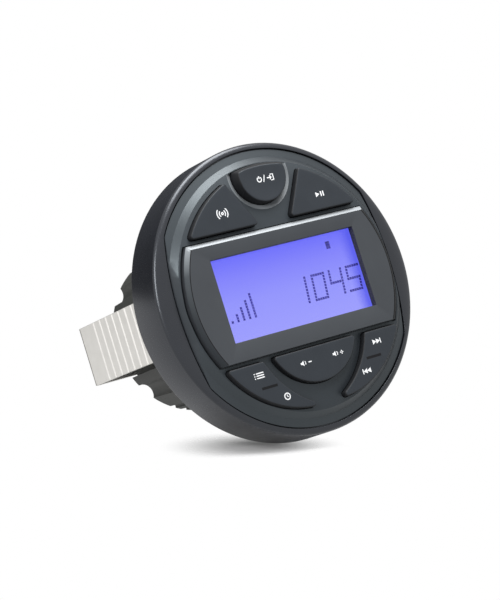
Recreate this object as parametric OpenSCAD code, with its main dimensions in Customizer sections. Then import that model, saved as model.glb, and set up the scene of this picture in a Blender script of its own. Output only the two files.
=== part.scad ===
// Round panel-mount media receiver with a rear U bracket.
// The bezel's rear face lies on y = 0 and the front looks along -Y, with +Z up.
// Depths named d_ are counted forwards from that rear face.

/* [Bezel] */
// Diameter of the bezel at its front edge
bezel_d = 104; // [92:0.5:120]
// Depth of the bezel's side wall
bezel_depth = 16.4; // [15.5:0.1:20]
// Growth of the bezel's radius towards its rear edge
bezel_draft = 0.25; // [0:0.05:0.6]
// Thickness of the bezel's back wall
bezel_back = 3; // [2.6:0.1:4]
// Width of the narrow rim in front of the side wall
rim_w = 2.35; // [1.8:0.05:3]
// Rise of the rim towards the parting line
rim_rise = 0.65; // [0.4:0.05:1]
// Thickness of the rubber gasket
gasket_t = 1.5; // [1:0.1:2.5]
// Width of the rubber gasket
gasket_w = 8; // [4:0.5:9]

/* [Face plate] */
// Depth that the two flattened sides cut into the round face
flat_cut = 4.35; // [3:0.05:5]
// Radius of the flattened sides
flat_r = 108; // [90:1:140]
// Lean of the flattened sides up to the plateau
flat_lean = 1.5; // [0.6:0.1:1.6]
// Gap of the parting line
parting_gap = 0.45; // [0.3:0.05:0.5]
// Depth of the face plate's outer edge below the rim
face_step = 0.5; // [0.2:0.05:0.7]
// Width of the flat band inside the parting line
band_w = 3.2; // [2.4:0.05:3.5]
// Rise of that band
band_rise = 0.65; // [0.4:0.05:0.9]
// Width of the chamfer up to the plateau
chamfer_w = 2.25; // [1.8:0.05:2.8]
// Rise of that chamfer
chamfer_rise = 2.1; // [1.4:0.05:2.3]
// Thickness of the face plate behind the plateau
plate_t = 3; // [2.6:0.1:3.2]
// Thickness of the face plate's outer rim
plate_rim_t = 1.55; // [1.3:0.05:2]

/* [Keys] */
// Gap between a key and its opening
key_gap = 0.3; // [0.25:0.05:0.4]
// Height of the keys above the plateau
key_rise = 2.3; // [1.6:0.1:2.8]
// Margin between the keys and the plateau's edge
key_margin = 2; // [1.6:0.1:3]
// Margin between the side rockers and the plateau's edge
rocker_margin = 0.4; // [0.4:0.1:1.2]
// Radius of the keys' rounded corners
key_round = 1; // [0.8:0.1:1.8]
// Radius of the side rockers' rounded corners
rocker_round = 1; // [0.6:0.1:1.2]
// Travel of the push keys and of a rocker's ends
key_travel = 0.6; // [0.4:0.1:0.8]
// Height of the two upper side keys above the display panel
key_row_gap = 1.8; // [1.4:0.1:3]
// Distance of their inner corner from the middle
side_key_x = 6.6; // [6.4:0.1:9]
// Lean of their inner edge
side_key_lean = 29; // [28:0.5:33]
// Radius of the power key's round lower edge
power_r = 10.6; // [9:0.1:11.5]
// Distance of that round edge's centre below the key's top
power_sink = 2; // [0:0.1:3]
// Height of the power key above the other keys
power_rise = 0.6; // [0.1:0.1:1]
// Distance that the power key's sides lean in up to its top
power_inset = 0.8; // [0.6:0.1:1.6]
// Width of the sloping recess round the power key
recess_w = 2; // [1.5:0.1:3.2]
// Depth of that recess
recess_depth = 0.9; // [0.6:0.1:1.6]
// Radius of the hollow in the power key's top
dish_r = 60; // [50:1:120]
// Depth of that hollow
dish_depth = 0.7; // [0.3:0.1:0.9]
// Radius of the half-moon rocker
vol_r = 18.7; // [16:0.1:19]
// Distance of its lowest point from the outer edge of the keys
vol_margin = 7.3; // [7:0.1:10]
// Distance of its upper edge below the display panel
vol_gap = 1.3; // [1.1:0.1:2]
// Space between the half-moon rocker and the side rockers
rocker_space = 3.7; // [3.4:0.1:5]
// Distance of the side rockers' upper edge below the display panel
rocker_gap = 1.6; // [1.1:0.1:2.5]
// Distance of the side rockers' tips from the middle
tip_x = 6.4; // [5:0.1:9]
// Height of the side rockers' axles above the middle of the rockers
axle_lift = 0.85; // [-0.5:0.05:1.5]
// Length of the mark between a side rocker's two halves
mark_len = 6.4; // [4:0.1:8]
// Radius of the rockers' axles
axle_r = 0.9; // [0.7:0.05:1]

/* [Display] */
// Distance of the display panel's round ends from the plateau's edge
panel_margin = 1.6; // [1.2:0.1:2]
// Height of the display panel above the display opening
top_border = 6.5; // [5.5:0.1:8]
// Height of the display panel below the display opening
bottom_border = 6.6; // [5.5:0.1:8]
// Height of the display panel above the plateau
panel_rise = 2.3; // [1.6:0.1:3]
// Width of the bevel along the panel's top edge
panel_top_bevel = 1.3; // [1:0.1:2]
// Width of the bevel round the panel's ends, and depth of every bevel
panel_bevel = 1.2; // [0.6:0.1:1.4]
// Width of the groove round the panel
groove_w = 0.9; // [0.4:0.1:1.1]
// Depth of the panel's seat below the plateau
seat_depth = 1.4; // [1:0.1:1.8]
// Distance of the display opening from the panel's round ends
end_border = 12.4; // [11.2:0.1:18]
// Height of the display opening
view_h = 29; // [26:0.5:30]
// Depth of the display below the panel's face
view_depth = 2.5; // [2:0.1:2.7]
// Thickness of the liquid crystal cell
lcd_t = 1.8; // [1.4:0.1:2.2]
// Thickness of the light guide behind it
guide_t = 2.3; // [1.8:0.1:2.4]
// Wall of the display holder
holder_wall = 1.6; // [1.2:0.1:1.8]

/* [Electronics] */
// Thickness of the circuit boards
board_t = 1.6; // [1.2:0.1:2]
// Distance from the face plate's back to the front board
board_drop = 4.7; // [4.6:0.1:5]
// Gap between the main board's rear end and the amplifier
amp_gap = 0.9; // [0.4:0.1:8]
// Height of the main board's lower face
main_board_z = -9.6; // [-11:0.1:-8]

/* [Housing] */
// Step from the collar down to the housing's body
collar_step = 3.45; // [2:0.05:4]
// Loss of radius from there to the housing's rear end
taper_drop = 3.35; // [1:0.05:3.8]
// Depth of the housing behind the bezel
housing_depth = 58; // [54:0.5:70]
// Wall of the housing behind its flutes
housing_wall = 3.6; // [3.5:0.1:4]
// Thickness of the housing's rear wall
rear_wall = 2.5; // [2:0.1:4]
// Distance that the bezel overhangs the collar in the panel hole
overhang = 14.4; // [13.5:0.05:16]
// Length of that collar
collar_len = 8; // [6:0.5:10]
// Depth of the flat sides at the housing's rear end
side_cut = 4.8; // [3:0.1:5.2]
// Height of those flat sides
side_flat_h = 24; // [18:0.5:26]
// Radius of the scooped flutes
scoop_r = 4.1; // [3:0.1:4.4]
// Depth of the scooped flutes
scoop_depth = 2.5; // [1.5:0.1:2.6]
// Angle of the scooped flutes from the housing's side
scoop_angle = 37; // [36:0.5:39]
// Radius of the fin grooves
fin_r = 1.1; // [0.8:0.05:1.3]
// Grooves in each set of fins
fin_count = 8; // [4:1:9]
// Angle that a set of fins covers
fin_span = 60; // [40:1:62]

/* [Bracket] */
// Gap between the collar and the bracket's legs
leg_gap = 1.3; // [1:0.1:4]
// Width of the bracket's strip
bracket_w = 22; // [18:0.5:24]
// Thickness of the bracket's strip
bracket_t = 1.6; // [1.2:0.1:2]
// Outer radius of the bracket's bends
bend_r = 2.6; // [2.2:0.1:4]
// Gap between the bracket and the housing's rear wall
bracket_gap = 6.5; // [3:0.1:8]
// Distance of the bracket's tips behind the bezel
tip_gap = 6; // [5:0.5:12]
// Distance from the bend to the first score line
score_start = 14; // [10:0.5:20]
// Spacing of the score lines
score_pitch = 5.1; // [4:0.1:7]
// Depth of the score lines
score_depth = 0.35; // [0.2:0.05:0.5]
// Distance between the two studs
stud_spacing = 30; // [27:0.5:34]
// Radius of the studs
stud_r = 2; // [1.5:0.05:2.2]
// Length of the studs behind the housing
stud_len = 24.5; // [20:0.5:28]
// Width of the nuts across their flats
nut_af = 7; // [6:0.1:8]
// Height of the nuts
nut_h = 3.2; // [2.4:0.1:4]

/* [Hidden] */
$fn = 96;
r_bezel = bezel_d / 2;
r_part = r_bezel - rim_w;
r_face = r_part - parting_gap;
r_foot = r_part - band_w;
r_plateau = r_foot - chamfer_w;
face_half_w = r_part - flat_cut;
collar_r = r_bezel - overhang;
reach = bezel_d;
clear = 0.1;
seat_clear = 0.4;

// Depths in front of the bezel's rear face
d_edge = bezel_depth;
d_part = d_edge + rim_rise;
d_face = d_part - face_step;
d_foot = d_face + band_rise;
d_plateau = d_foot + chamfer_rise;
d_plate_back = d_plateau - plate_t;
d_ledge = d_face - plate_rim_t;
d_key = d_plateau + key_rise;
d_power = d_key + power_rise;
d_panel = d_plateau + panel_rise;
d_seat = d_plateau - seat_depth;
d_view = d_panel - view_depth;
d_lcd = d_seat - clear;
d_board = d_plate_back - board_drop;

// Bezel
bore_r = face_half_w - 1;
neck_r = collar_r + 0.6;
hole_r = neck_r + clear;
flange_r = bore_r - seat_clear;
flange_t = 2;
flange_screw_r = (flange_r + collar_r) / 2;
screw_r = 1.4;
screw_head_r = 2.4;
screw_head_h = 1.5;
screw_bite = bezel_back - 0.8;

// Keys
r_key = r_plateau - key_margin;
key_lip = 0.7;
lip_t = 0.9;
push_gap = 0.1;
d_axle = d_plate_back - key_travel - axle_r;
d_stem = d_axle - axle_r / 2;
axle_fit = 0.05;
bearing_wall = 0.8;
bearing_w = 1.6;
d_bearing = d_axle - axle_r - 0.3;
d_lip = d_plate_back - push_gap;
pocket_r = r_key + 1.5;
r_power = pocket_r - clear;
stem_r = 2;
panel_r = r_plateau - panel_margin;
view_w = 2 * (panel_r - end_border);
panel_top_z = view_h / 2 + top_border;
panel_bottom_z = -view_h / 2 - bottom_border;
side_key_z = panel_top_z + key_row_gap;
power_z = r_key - power_sink;
vol_bottom_z = vol_margin - r_key;
vol_top_z = panel_bottom_z - vol_gap;
vol_z = vol_bottom_z + vol_r;
side_rocker_z = panel_bottom_z - rocker_gap;
side_axle_z = (side_rocker_z - r_key) / 2 + axle_lift;
power_mid_z = (power_z - power_r + r_power) / 2;
power_drop = 0.7;
power_lean = 0.5;
rocker_inner_r = vol_r + rocker_space;
rocker_seat = 0.6;
d_cap = d_plate_back + 2 * rocker_seat;

// Round edges of the right rocker: centre and radius of the outer and of the inner one
rocker_out = [4.5, -6];
rocker_out_r = r_plateau - rocker_margin - norm(rocker_out);
rocker_in = [-9, vol_z + 4.2];
rocker_edge_x = sqrt(rocker_inner_r^2 - (side_axle_z - vol_z)^2) + rocker_seat;
rocker_in_r = norm([rocker_edge_x, side_axle_z] - rocker_in);
mark_w = 0.9;
mark_depth = 0.35;
mark_x = (sqrt(r_key^2 - side_axle_z^2) + rocker_edge_x) / 2;

// Ends of the side rockers' axles along X, and of the half moon's along Z
side_axle_in = sqrt((vol_r + seat_clear)^2 - (side_axle_z + axle_r - vol_z)^2) + seat_clear;
side_axle_out = sqrt(pocket_r^2 - (side_axle_z - axle_r)^2);
vol_axle_top = vol_top_z + seat_clear + bearing_w;
vol_axle_low = vol_bottom_z - seat_clear - bearing_w;

// Contact places under the keys, as [x, z]
side_switch_x = 13.4;
upper_switch_x = 1.5;
lower_switch_x = 6;
lower_switch_z = 1.2;
vol_switch_z = 1.3;
push_x = side_key_x + side_switch_x;
push_side = [push_x, (side_key_z + sqrt(r_key^2 - push_x^2)) / 2];
push_power = [0, power_mid_z];
press_upper = [mark_x + upper_switch_x, (side_axle_z + side_rocker_z) / 2];
press_lower = [mark_x - lower_switch_x, (side_axle_z - r_key) / 2 + lower_switch_z];
press_vol = [vol_r / 2, (vol_top_z + vol_bottom_z) / 2 + vol_switch_z];
presses = concat([push_power], [for (s = [-1, 1], p = [push_side, press_upper, press_lower, press_vol])
    [s * p[0], p[1]]]);

// Display
view_rim = 1;
cell_rim = 2;
cell_w = view_w + 2 * cell_rim;
cell_h = view_h + 2 * cell_rim;
holder_w = cell_w + 2 * (holder_wall + clear);
holder_h = cell_h + 2 * (holder_wall + clear);
led_w = 1.6;
led_h = 3;
guide_w = cell_w - 2 * (led_w + 2 * clear);
d_guide = d_lcd - lcd_t - clear;
d_holder_floor = d_guide - guide_t;

// Boards
r_board = bore_r - 1.4;
boss_gap = 4;
boss_x = holder_w / 2 + boss_gap;
boss_z = 9.5;
boss_r = 2.2;
post_screw_r = 1.1;
switch_w = 4.4;
switch_h = 1;
mat_t = 0.6;
mat_inset = 0.5;
d_mat = d_board + switch_h + mat_t;
d_dome = d_stem - key_travel - 0.2;
dome_r = 2.2;
d_board_back = d_board - board_t;

// Housing
body_r = collar_r - collar_step;
tail_r = body_r - taper_drop;
side_flat = tail_r - side_cut;
cavity_half_w = side_flat - 2.2;
taper = atan((body_r - tail_r) / housing_depth);
d_tail = -housing_depth;
d_floor = d_tail + rear_wall;
flute_start = collar_len + 2;
rail_w = 2;
rail_h = 2;
main_board_w = 2 * (cavity_half_w - seat_clear);
main_board_top = main_board_z + board_t;
board_gap = 4;
d_main_front = d_board_back - board_gap;
header_w = 26;
header_h = 3.4;
header_overlap = 4;
boss_stud_r = 5;
boss_stud_len = 4;
stud_x = stud_spacing / 2;
socket_flange = 1;
socket_flange_t = 1.5;
rear_clear = 1.3;
aerial_r = 5.4;
aerial_z = tail_r - housing_wall - aerial_r - socket_flange - rear_clear;
aerial_bore_r = 4.1;
aerial_bore_len = 12;
aerial_base = 2;
aerial_proud = 3;
socket_side = 12.8;
socket_w = 2 * (cavity_half_w - socket_side);
socket_h = 8;
socket_corner_x = socket_w / 2 + socket_flange;
socket_clear = 0.9;
socket_low = socket_clear + socket_flange + socket_h / 2;
socket_z = socket_low - sqrt((tail_r - housing_wall)^2 - socket_corner_x^2);
socket_wall = 1;
socket_len = 13;
socket_proud = 1.5;
socket_floor = 2.5;
d_socket = d_tail + socket_len - socket_proud;
pin_r = 0.5;
pin_cols = 6;
pin_rows = 2;
pin_margin = 1.5;
pin_col_pitch = (socket_w - 2 * (socket_wall + pin_margin)) / (pin_cols - 1);
pin_row_pitch = 3.4;
pin_len = 6;
pin_tail = 2;
spreader_half_w = stud_x - boss_stud_r - 1;
spreader_t = 3;
spreader_z = main_board_top + 1;
spreader_h = aerial_z - aerial_r - socket_flange - seat_clear - spreader_z;
tuner_size = [17, 22, 7];
tuner_y = 8;
capacitor_r = 5;
capacitor_h = 13;
capacitor_y = 12;
capacitor_pitch = 13;
amp_w = 2 * spreader_half_w - 2;
amp_h = 15;
amp_t = 3.6;
main_board_len = d_main_front - d_floor - spreader_t - amp_t - amp_gap;

// Bracket, measured backwards from the bezel's rear face
y_web = housing_depth + bracket_gap;
y_back = y_web + bracket_t;
leg_x = collar_r + leg_gap + bracket_t;
stud_gap = 0.3;
stud_tip = 0.6;
washer_t = 0.8;
washer_r = nut_af / 2 + 1;
nut_fit = 0.05;
stud_depth = boss_stud_len + rear_wall - 0.5;
score_w = 1;
score_cut = score_w / 2 * (1 + clear / score_depth);
score_count = floor((y_back - tip_gap - score_start) / score_pitch);

// Turns a shape drawn in the front view, x right and y up, to face the front at depth d
module front(d = 0) {
    rotate([90, 0, 0])
        translate([0, 0, d])
            children();
}

// A front view shape carried from depth low to depth high
module slab(low, high) {
    front(low)
        linear_extrude(height = high - low)
            children();
}

// A profile of [radius, depth] points turned round the receiver's axis
module turned(points) {
    front()
        rotate_extrude()
            polygon(points);
}

// A round bar along the receiver's axis, at [x, z], between two depths
module bar(p, r, low, high) {
    slab(low, high)
        translate(p)
            circle(r = r);
}

// A rectangle about a point of the front view
module plate_at(p, w, h) {
    translate(p)
        square([w, h], center = true);
}

module mirrored() {
    for (s = [0, 1])
        mirror([s, 0, 0])
            children();
}

// Outline of the face: a circle with two flattened sides
module face_outline(grow = 0) {
    intersection() {
        circle(r = r_face + grow);
        translate([face_half_w - flat_r, 0])
            circle(r = flat_r - parting_gap + grow);
        translate([flat_r - face_half_w, 0])
            circle(r = flat_r - parting_gap + grow);
    }
}

// Unit vector from a to b, and crossings of a level or of a circle with another circle
function way(a, b) = (b - a) / norm(b - a);
function level_cross(z, o, r) = [o[0] + sqrt(r^2 - (z - o[1])^2), z];
function circle_cross(o1, r1, o2, r2) =
    let (d = norm(o2 - o1), e = way(o1, o2), a = (r1^2 - r2^2 + d^2) / (2 * d), h = sqrt(r1^2 - a^2))
    o1 + a * e + h * [e[1], -e[0]];

// What a rounded corner loses, q being its centre and the outward directions of its two edges
module corner_loss(q, r) {
    far = 1.2 * r / (1 + q[1] * q[2]);
    difference() {
        polygon([q[0], q[0] + far * q[1], q[0] + far * (q[1] + q[2]), q[0] + far * q[2]]);
        translate(q[0])
            circle(r = r);
    }
}

// A shape with corners of radius r rounded, grown like the shape itself
module rounded(corners, r) {
    difference() {
        children();
        for (q = corners)
            corner_loss(q, r);
    }
}

middle = [0, 0];
down = [0, -1];
lean_out = [-cos(side_key_lean), sin(side_key_lean)];
lean_up = [sin(side_key_lean), cos(side_key_lean)];

function side_key_corners(r) =
    let (k = lean_out * [side_key_x, side_key_z] - r, z = side_key_z + r,
        low_in = [(lean_out[1] * z - k) / -lean_out[0], z],
        low_out = level_cross(z, middle, r_key - r),
        top = k * lean_out + sqrt((r_key - r)^2 - k^2) * lean_up)
    [[low_in, lean_out, down], [low_out, down, way(middle, low_out)], [top, lean_out, way(middle, top)]];

// Outline of the right upper key; the left one is its mirror image
module side_key_outline(grow = 0) {
    rounded(side_key_corners(key_round), key_round + grow)
        intersection() {
            circle(r = r_key + grow);
            translate([-reach, side_key_z - grow])
                square(2 * reach);
            translate([side_key_x, side_key_z])
                rotate(-side_key_lean)
                    translate([-grow, -reach])
                        square(2 * reach);
        }
}

function power_corners(r) =
    let (o = [0, power_z], p = circle_cross(middle, r_power - r, o, power_r - r))
    [for (s = [-1, 1]) let (q = [s * p[0], p[1]]) [q, way(middle, q), way(o, q)]];

module power_outline(grow = 0) {
    rounded(power_corners(rocker_round), rocker_round + grow)
        intersection() {
            circle(r = r_power + grow);
            translate([0, power_z])
                circle(r = power_r + grow);
        }
}

function vol_corners(r) =
    let (o = [0, vol_z], p = level_cross(vol_top_z - r, o, vol_r - r))
    [for (s = [-1, 1]) let (q = [s * p[0], p[1]]) [q, -down, way(o, q)]];

// A cone about a point, leaning in to radius r at the power key's top
module lean_in(p, r) {
    height = d_power - d_lip + lip_t;
    front(d_lip - lip_t)
        translate([p[0], p[1], 0])
            cylinder(r1 = r + power_lean * height, r2 = r, h = height);
}

// Outline of the half-moon rocker
module vol_outline(grow = 0) {
    rounded(vol_corners(key_round), key_round + grow)
        intersection() {
            translate([0, vol_z])
                circle(r = vol_r + grow);
            translate([-reach, vol_top_z + grow - 2 * reach])
                square(2 * reach);
        }
}

function side_rocker_corners(r) =
    let (z = side_rocker_z - r,
        top_out = level_cross(z, rocker_out, rocker_out_r - r),
        top_in = level_cross(z, rocker_in, rocker_in_r + r),
        tip = circle_cross(rocker_in, rocker_in_r + r, rocker_out, rocker_out_r - r))
    [[top_out, -down, way(rocker_out, top_out)], [top_in, -down, way(top_in, rocker_in)],
        [tip, way(rocker_out, tip), way(tip, rocker_in)]];

// Outline of the right rocker, curved round the half moon
module side_rocker_outline(grow = 0) {
    rounded(side_rocker_corners(rocker_round), rocker_round + grow)
        difference() {
            intersection() {
                translate(rocker_out)
                    circle(r = rocker_out_r + grow);
                translate([tip_x - grow, side_rocker_z + grow - 2 * reach])
                    square(2 * reach);
            }
            translate(rocker_in)
                circle(r = rocker_in_r - grow);
        }
}

// The part of that outline that also lies behind the face plate
module side_rocker_stem(grow = 0) {
    intersection() {
        side_rocker_outline(grow);
        circle(r = r_key + grow);
    }
}

module panel_outline(grow = 0) {
    intersection() {
        circle(r = panel_r + grow);
        translate([-reach, panel_bottom_z - grow / 2])
            square([2 * reach, panel_top_z - panel_bottom_z + grow]);
    }
}

module bezel_ring() color("#3a3b3f") {
    difference() {
        turned([[hole_r, 0], [r_bezel + bezel_draft, 0], [r_bezel, d_edge], [r_part, d_part],
            [bore_r, d_part], [bore_r, bezel_back], [hole_r, bezel_back]]);
        slab(d_ledge, d_panel)
            face_outline(parting_gap);
        for (p = flange_points())
            bar(p, screw_r, bezel_back - screw_bite, bezel_back + clear);
    }
}

module panel_gasket() color("#1d1d1f") {
    slab(-gasket_t, 0) difference() {
        circle(r = r_bezel - 1);
        circle(r = r_bezel - 1 - gasket_w);
    }
}

module side_axle(r, x0, x1) {
    translate([x0, -d_axle, side_axle_z])
        rotate([0, 90, 0])
            cylinder(r = r, h = x1 - x0);
}

module vol_axle(r, z0, z1) {
    translate([0, -d_axle, z0])
        cylinder(r = r, h = z1 - z0);
}

// Bearings of one side rocker: the ring spaces either side of it, cut to the axle's height
module side_bearing_outline() {
    intersection() {
        union() {
            difference() {
                circle(r = pocket_r + clear);
                circle(r = r_key + seat_clear);
            }
            translate([0, vol_z]) difference() {
                circle(r = rocker_inner_r - seat_clear);
                circle(r = vol_r + seat_clear);
            }
        }
        translate([tip_x, side_axle_z - axle_r - bearing_wall])
            square([reach, 2 * (axle_r + bearing_wall)]);
    }
}

// Bearings behind the face plate that carry the rockers' axles
module axle_bearings() {
    width = 2 * (axle_r + bearing_wall);
    difference() {
        slab(d_bearing, d_plate_back + clear) {
            mirrored()
                side_bearing_outline();
            plate_at([0, vol_axle_top - bearing_w / 2], width, bearing_w);
            plate_at([0, vol_axle_low + bearing_w / 2], width, bearing_w);
        }
        mirrored()
            side_axle(axle_r + axle_fit, tip_x, r_plateau);
        vol_axle(axle_r + axle_fit, vol_axle_low - 1, vol_axle_top + 1);
    }
}

module key_openings(grow) {
    mirrored() {
        side_key_outline(grow);
        side_rocker_stem(grow);
    }
    power_outline(grow);
    vol_outline(grow);
}

// One flattened side of the face plate, leaning in from the parting line to the plateau
module leaning_side(s) {
    front(d_face)
        translate([s * (flat_r - face_half_w), 0, 0])
            cylinder(r1 = flat_r - parting_gap, r2 = flat_r - parting_gap - flat_lean, h = d_plateau - d_face);
}

// Posts that the front board is screwed to, as [x, z]
function boss_points() = [for (x = [-1, 1], z = [-1, 1]) [x * boss_x, z * boss_z]];
function flange_points() = [for (k = [0:3]) flange_screw_r * [cos(45 + 90 * k), sin(45 + 90 * k)]];

module face_plate() color("#3b3d41") {
    difference() {
        union() {
            intersection() {
                turned([[0, d_plate_back], [pocket_r, d_plate_back], [pocket_r, d_ledge],
                    [r_face, d_ledge], [r_face, d_face], [r_foot, d_foot], [r_plateau, d_plateau],
                    [0, d_plateau]]);
                union() {
                    slab(d_ledge - 1, d_face)
                        face_outline();
                    intersection() {
                        leaning_side(-1);
                        leaning_side(1);
                    }
                }
            }
            for (p = boss_points())
                bar(p, boss_r, d_board, d_plate_back + clear);
            axle_bearings();
        }
        slab(d_seat, d_plateau + 1)
            panel_outline(groove_w);
        slab(d_plate_back - 1, d_plateau)
            square([holder_w + 2 * seat_clear, holder_h + 2 * seat_clear], center = true);
        slab(d_plate_back - 0.01, d_plateau + 1)
            key_openings(key_gap);
        slab(d_plate_back + rocker_seat, d_plateau + 1)
            mirrored()
                side_rocker_outline(key_gap);
        intersection() {
            front(d_plateau - recess_depth)
                translate([0, power_z, 0])
                    cylinder(r1 = power_r + key_gap, r2 = power_r + recess_w, h = recess_depth + 0.01);
            slab(d_plate_back, d_plateau + 1)
                circle(r = r_power + key_gap);
        }
        for (p = boss_points())
            bar(p, post_screw_r, d_board - 1, d_plate_back - 1);
    }
}

// Raised panel round the display, bevelled along its top and round its ends
module display_panel() color("#46484c") {
    difference() {
        intersection() {
            turned([[0, d_seat], [panel_r, d_seat], [panel_r, d_panel - panel_bevel],
                [panel_r - panel_bevel, d_panel], [0, d_panel]]);
            translate([-reach / 2, 0, 0])
                rotate([90, 0, 90])
                    linear_extrude(height = reach)
                        polygon([[-d_seat, panel_bottom_z], [-d_panel, panel_bottom_z],
                            [-d_panel, panel_top_z - panel_top_bevel],
                            [panel_bevel - d_panel, panel_top_z], [-d_seat, panel_top_z]]);
        }
        slab(d_seat - 1, d_panel + 1)
            square([view_w, view_h], center = true);
        slab(d_seat - 1, d_view)
            square([view_w + 2 * view_rim, view_h + 2 * view_rim], center = true);
    }
}

module display_window() color("#dfe4ff", 0.4) {
    slab(d_seat, d_view)
        square([view_w + 2 * (view_rim - clear), view_h + 2 * (view_rim - clear)], center = true);
}

module lcd_cell() color("#8f92f5") {
    slab(d_lcd - lcd_t, d_lcd)
        square([cell_w, cell_h], center = true);
}

module light_guide() color("#b9bcff") {
    slab(d_holder_floor, d_guide)
        square([guide_w, cell_h], center = true);
}

module backlight_leds() color("#f4f0d8") {
    for (x = [-1, 1], z = [-1, 0, 1])
        slab(d_holder_floor, d_guide - clear)
            plate_at([x * (cell_w - led_w) / 2, z * cell_h / 3], led_w, led_h);
}

module lcd_holder() color("#e6e6e2") {
    difference() {
        slab(d_board, d_lcd)
            square([holder_w, holder_h], center = true);
        slab(d_holder_floor, d_lcd + 1)
            square([cell_w + 2 * clear, cell_h + 2 * clear], center = true);
    }
}

// The lip of a push key behind the plate, and the stem over its switch
module key_foot(place) {
    slab(d_lip - lip_t, d_lip)
        children();
    bar(place, stem_r, d_stem, d_lip - lip_t);
}

module right_key_shape() {
    slab(d_lip - lip_t, d_key)
        side_key_outline();
    key_foot(push_side)
        side_key_outline(key_lip);
}

module right_key() color("#414347") right_key_shape();

module left_key() color("#414347") mirror([1, 0, 0]) right_key_shape();

module power_key() color("#45494d") {
    difference() {
        intersection() {
            slab(d_lip - lip_t, d_power)
                power_outline();
            lean_in(middle, r_power - power_inset);
            lean_in([0, power_z - power_drop], power_r - power_inset);
        }
        front(d_power - dish_depth + dish_r)
            translate([0, power_mid_z, 0])
                sphere(r = dish_r);
    }
    key_foot(push_power) intersection() {
        power_outline(key_lip);
        circle(r = r_power);
    }
}

module right_rocker_shape() {
    difference() {
        union() {
            slab(d_stem, d_key)
                side_rocker_stem();
            slab(d_cap, d_key)
                side_rocker_outline();
        }
        slab(d_key - mark_depth, d_key + 1)
            plate_at([mark_x, side_axle_z], mark_len, mark_w);
    }
    side_axle(axle_r, side_axle_in, side_axle_out);
}

module right_rocker() color("#4d5257") right_rocker_shape();

module left_rocker() color("#4d5257") mirror([1, 0, 0]) right_rocker_shape();

module centre_rocker() color("#50565c") {
    slab(d_stem, d_key)
        vol_outline();
    vol_axle(axle_r, vol_axle_low, vol_axle_top);
}

module keypad_mat() color("#8a8d92") {
    difference() {
        union() {
            slab(d_mat - mat_t, d_mat)
                circle(r = r_board - mat_inset);
            for (p = presses)
                bar(p, dome_r, d_mat - mat_t, d_dome);
        }
        slab(d_mat - mat_t - 1, d_dome + 1) {
            square([holder_w + 2 * seat_clear, holder_h + 2 * seat_clear], center = true);
            for (p = boss_points())
                translate(p)
                    circle(r = boss_r + seat_clear);
        }
    }
}

module tact_switches() color("#b9babd") {
    for (p = presses)
        slab(d_board, d_board + switch_h)
            plate_at(p, switch_w, switch_w);
}

module front_board() color("#1f5a38") {
    slab(d_board_back, d_board) difference() {
        circle(r = r_board);
        for (p = boss_points())
            translate(p)
                circle(r = post_screw_r + clear);
    }
}

module front_board_screws() color("#c4c5c8") {
    for (p = boss_points()) {
        bar(p, boss_r, d_board_back - screw_head_h, d_board_back);
        bar(p, post_screw_r, d_board_back - 0.1, d_plate_back - 1);
    }
}

// Connector block between the two boards
module board_header() color("#26262a") {
    translate([-header_w / 2, -d_board_back, main_board_top])
        cube([header_w, d_board_back - d_main_front + header_overlap, header_h]);
}

module main_board() color("#1f5a38") {
    translate([-main_board_w / 2, -d_main_front, main_board_z])
        cube([main_board_w, main_board_len, board_t]);
}

module tuner_can() color("#c9cbcf") {
    translate([main_board_w / 2 - tuner_size[0] - 1, tuner_y, main_board_top])
        cube(tuner_size);
}

module capacitors() color("#2d3a66") {
    for (k = [0, 1])
        translate([capacitor_r + 2 - main_board_w / 2, capacitor_y + k * capacitor_pitch, main_board_top])
            cylinder(r = capacitor_r, h = capacitor_h);
}

module amplifier_chip() color("#222226") {
    translate([-amp_w / 2, -d_floor - spreader_t - amp_t, main_board_top])
        cube([amp_w, amp_t, amp_h]);
}

module heat_spreader() color("#b6b9bd") {
    translate([-spreader_half_w, -d_floor - spreader_t, spreader_z])
        cube([2 * spreader_half_w, spreader_t, spreader_h]);
}

// Round bar cut along the tapered wall at an angle, its lowest point depth below the surface
module flute(angle, r, depth) {
    rotate(angle)
        translate([tail_r - depth + r, 0, d_tail])
            rotate([0, taper, 0])
                translate([0, 0, -r])
                    cylinder(r = r, h = housing_depth - flute_start + r);
}

function fin_angle(k) = 90 - fin_span / 2 + k * fin_span / (fin_count - 1);

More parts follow.
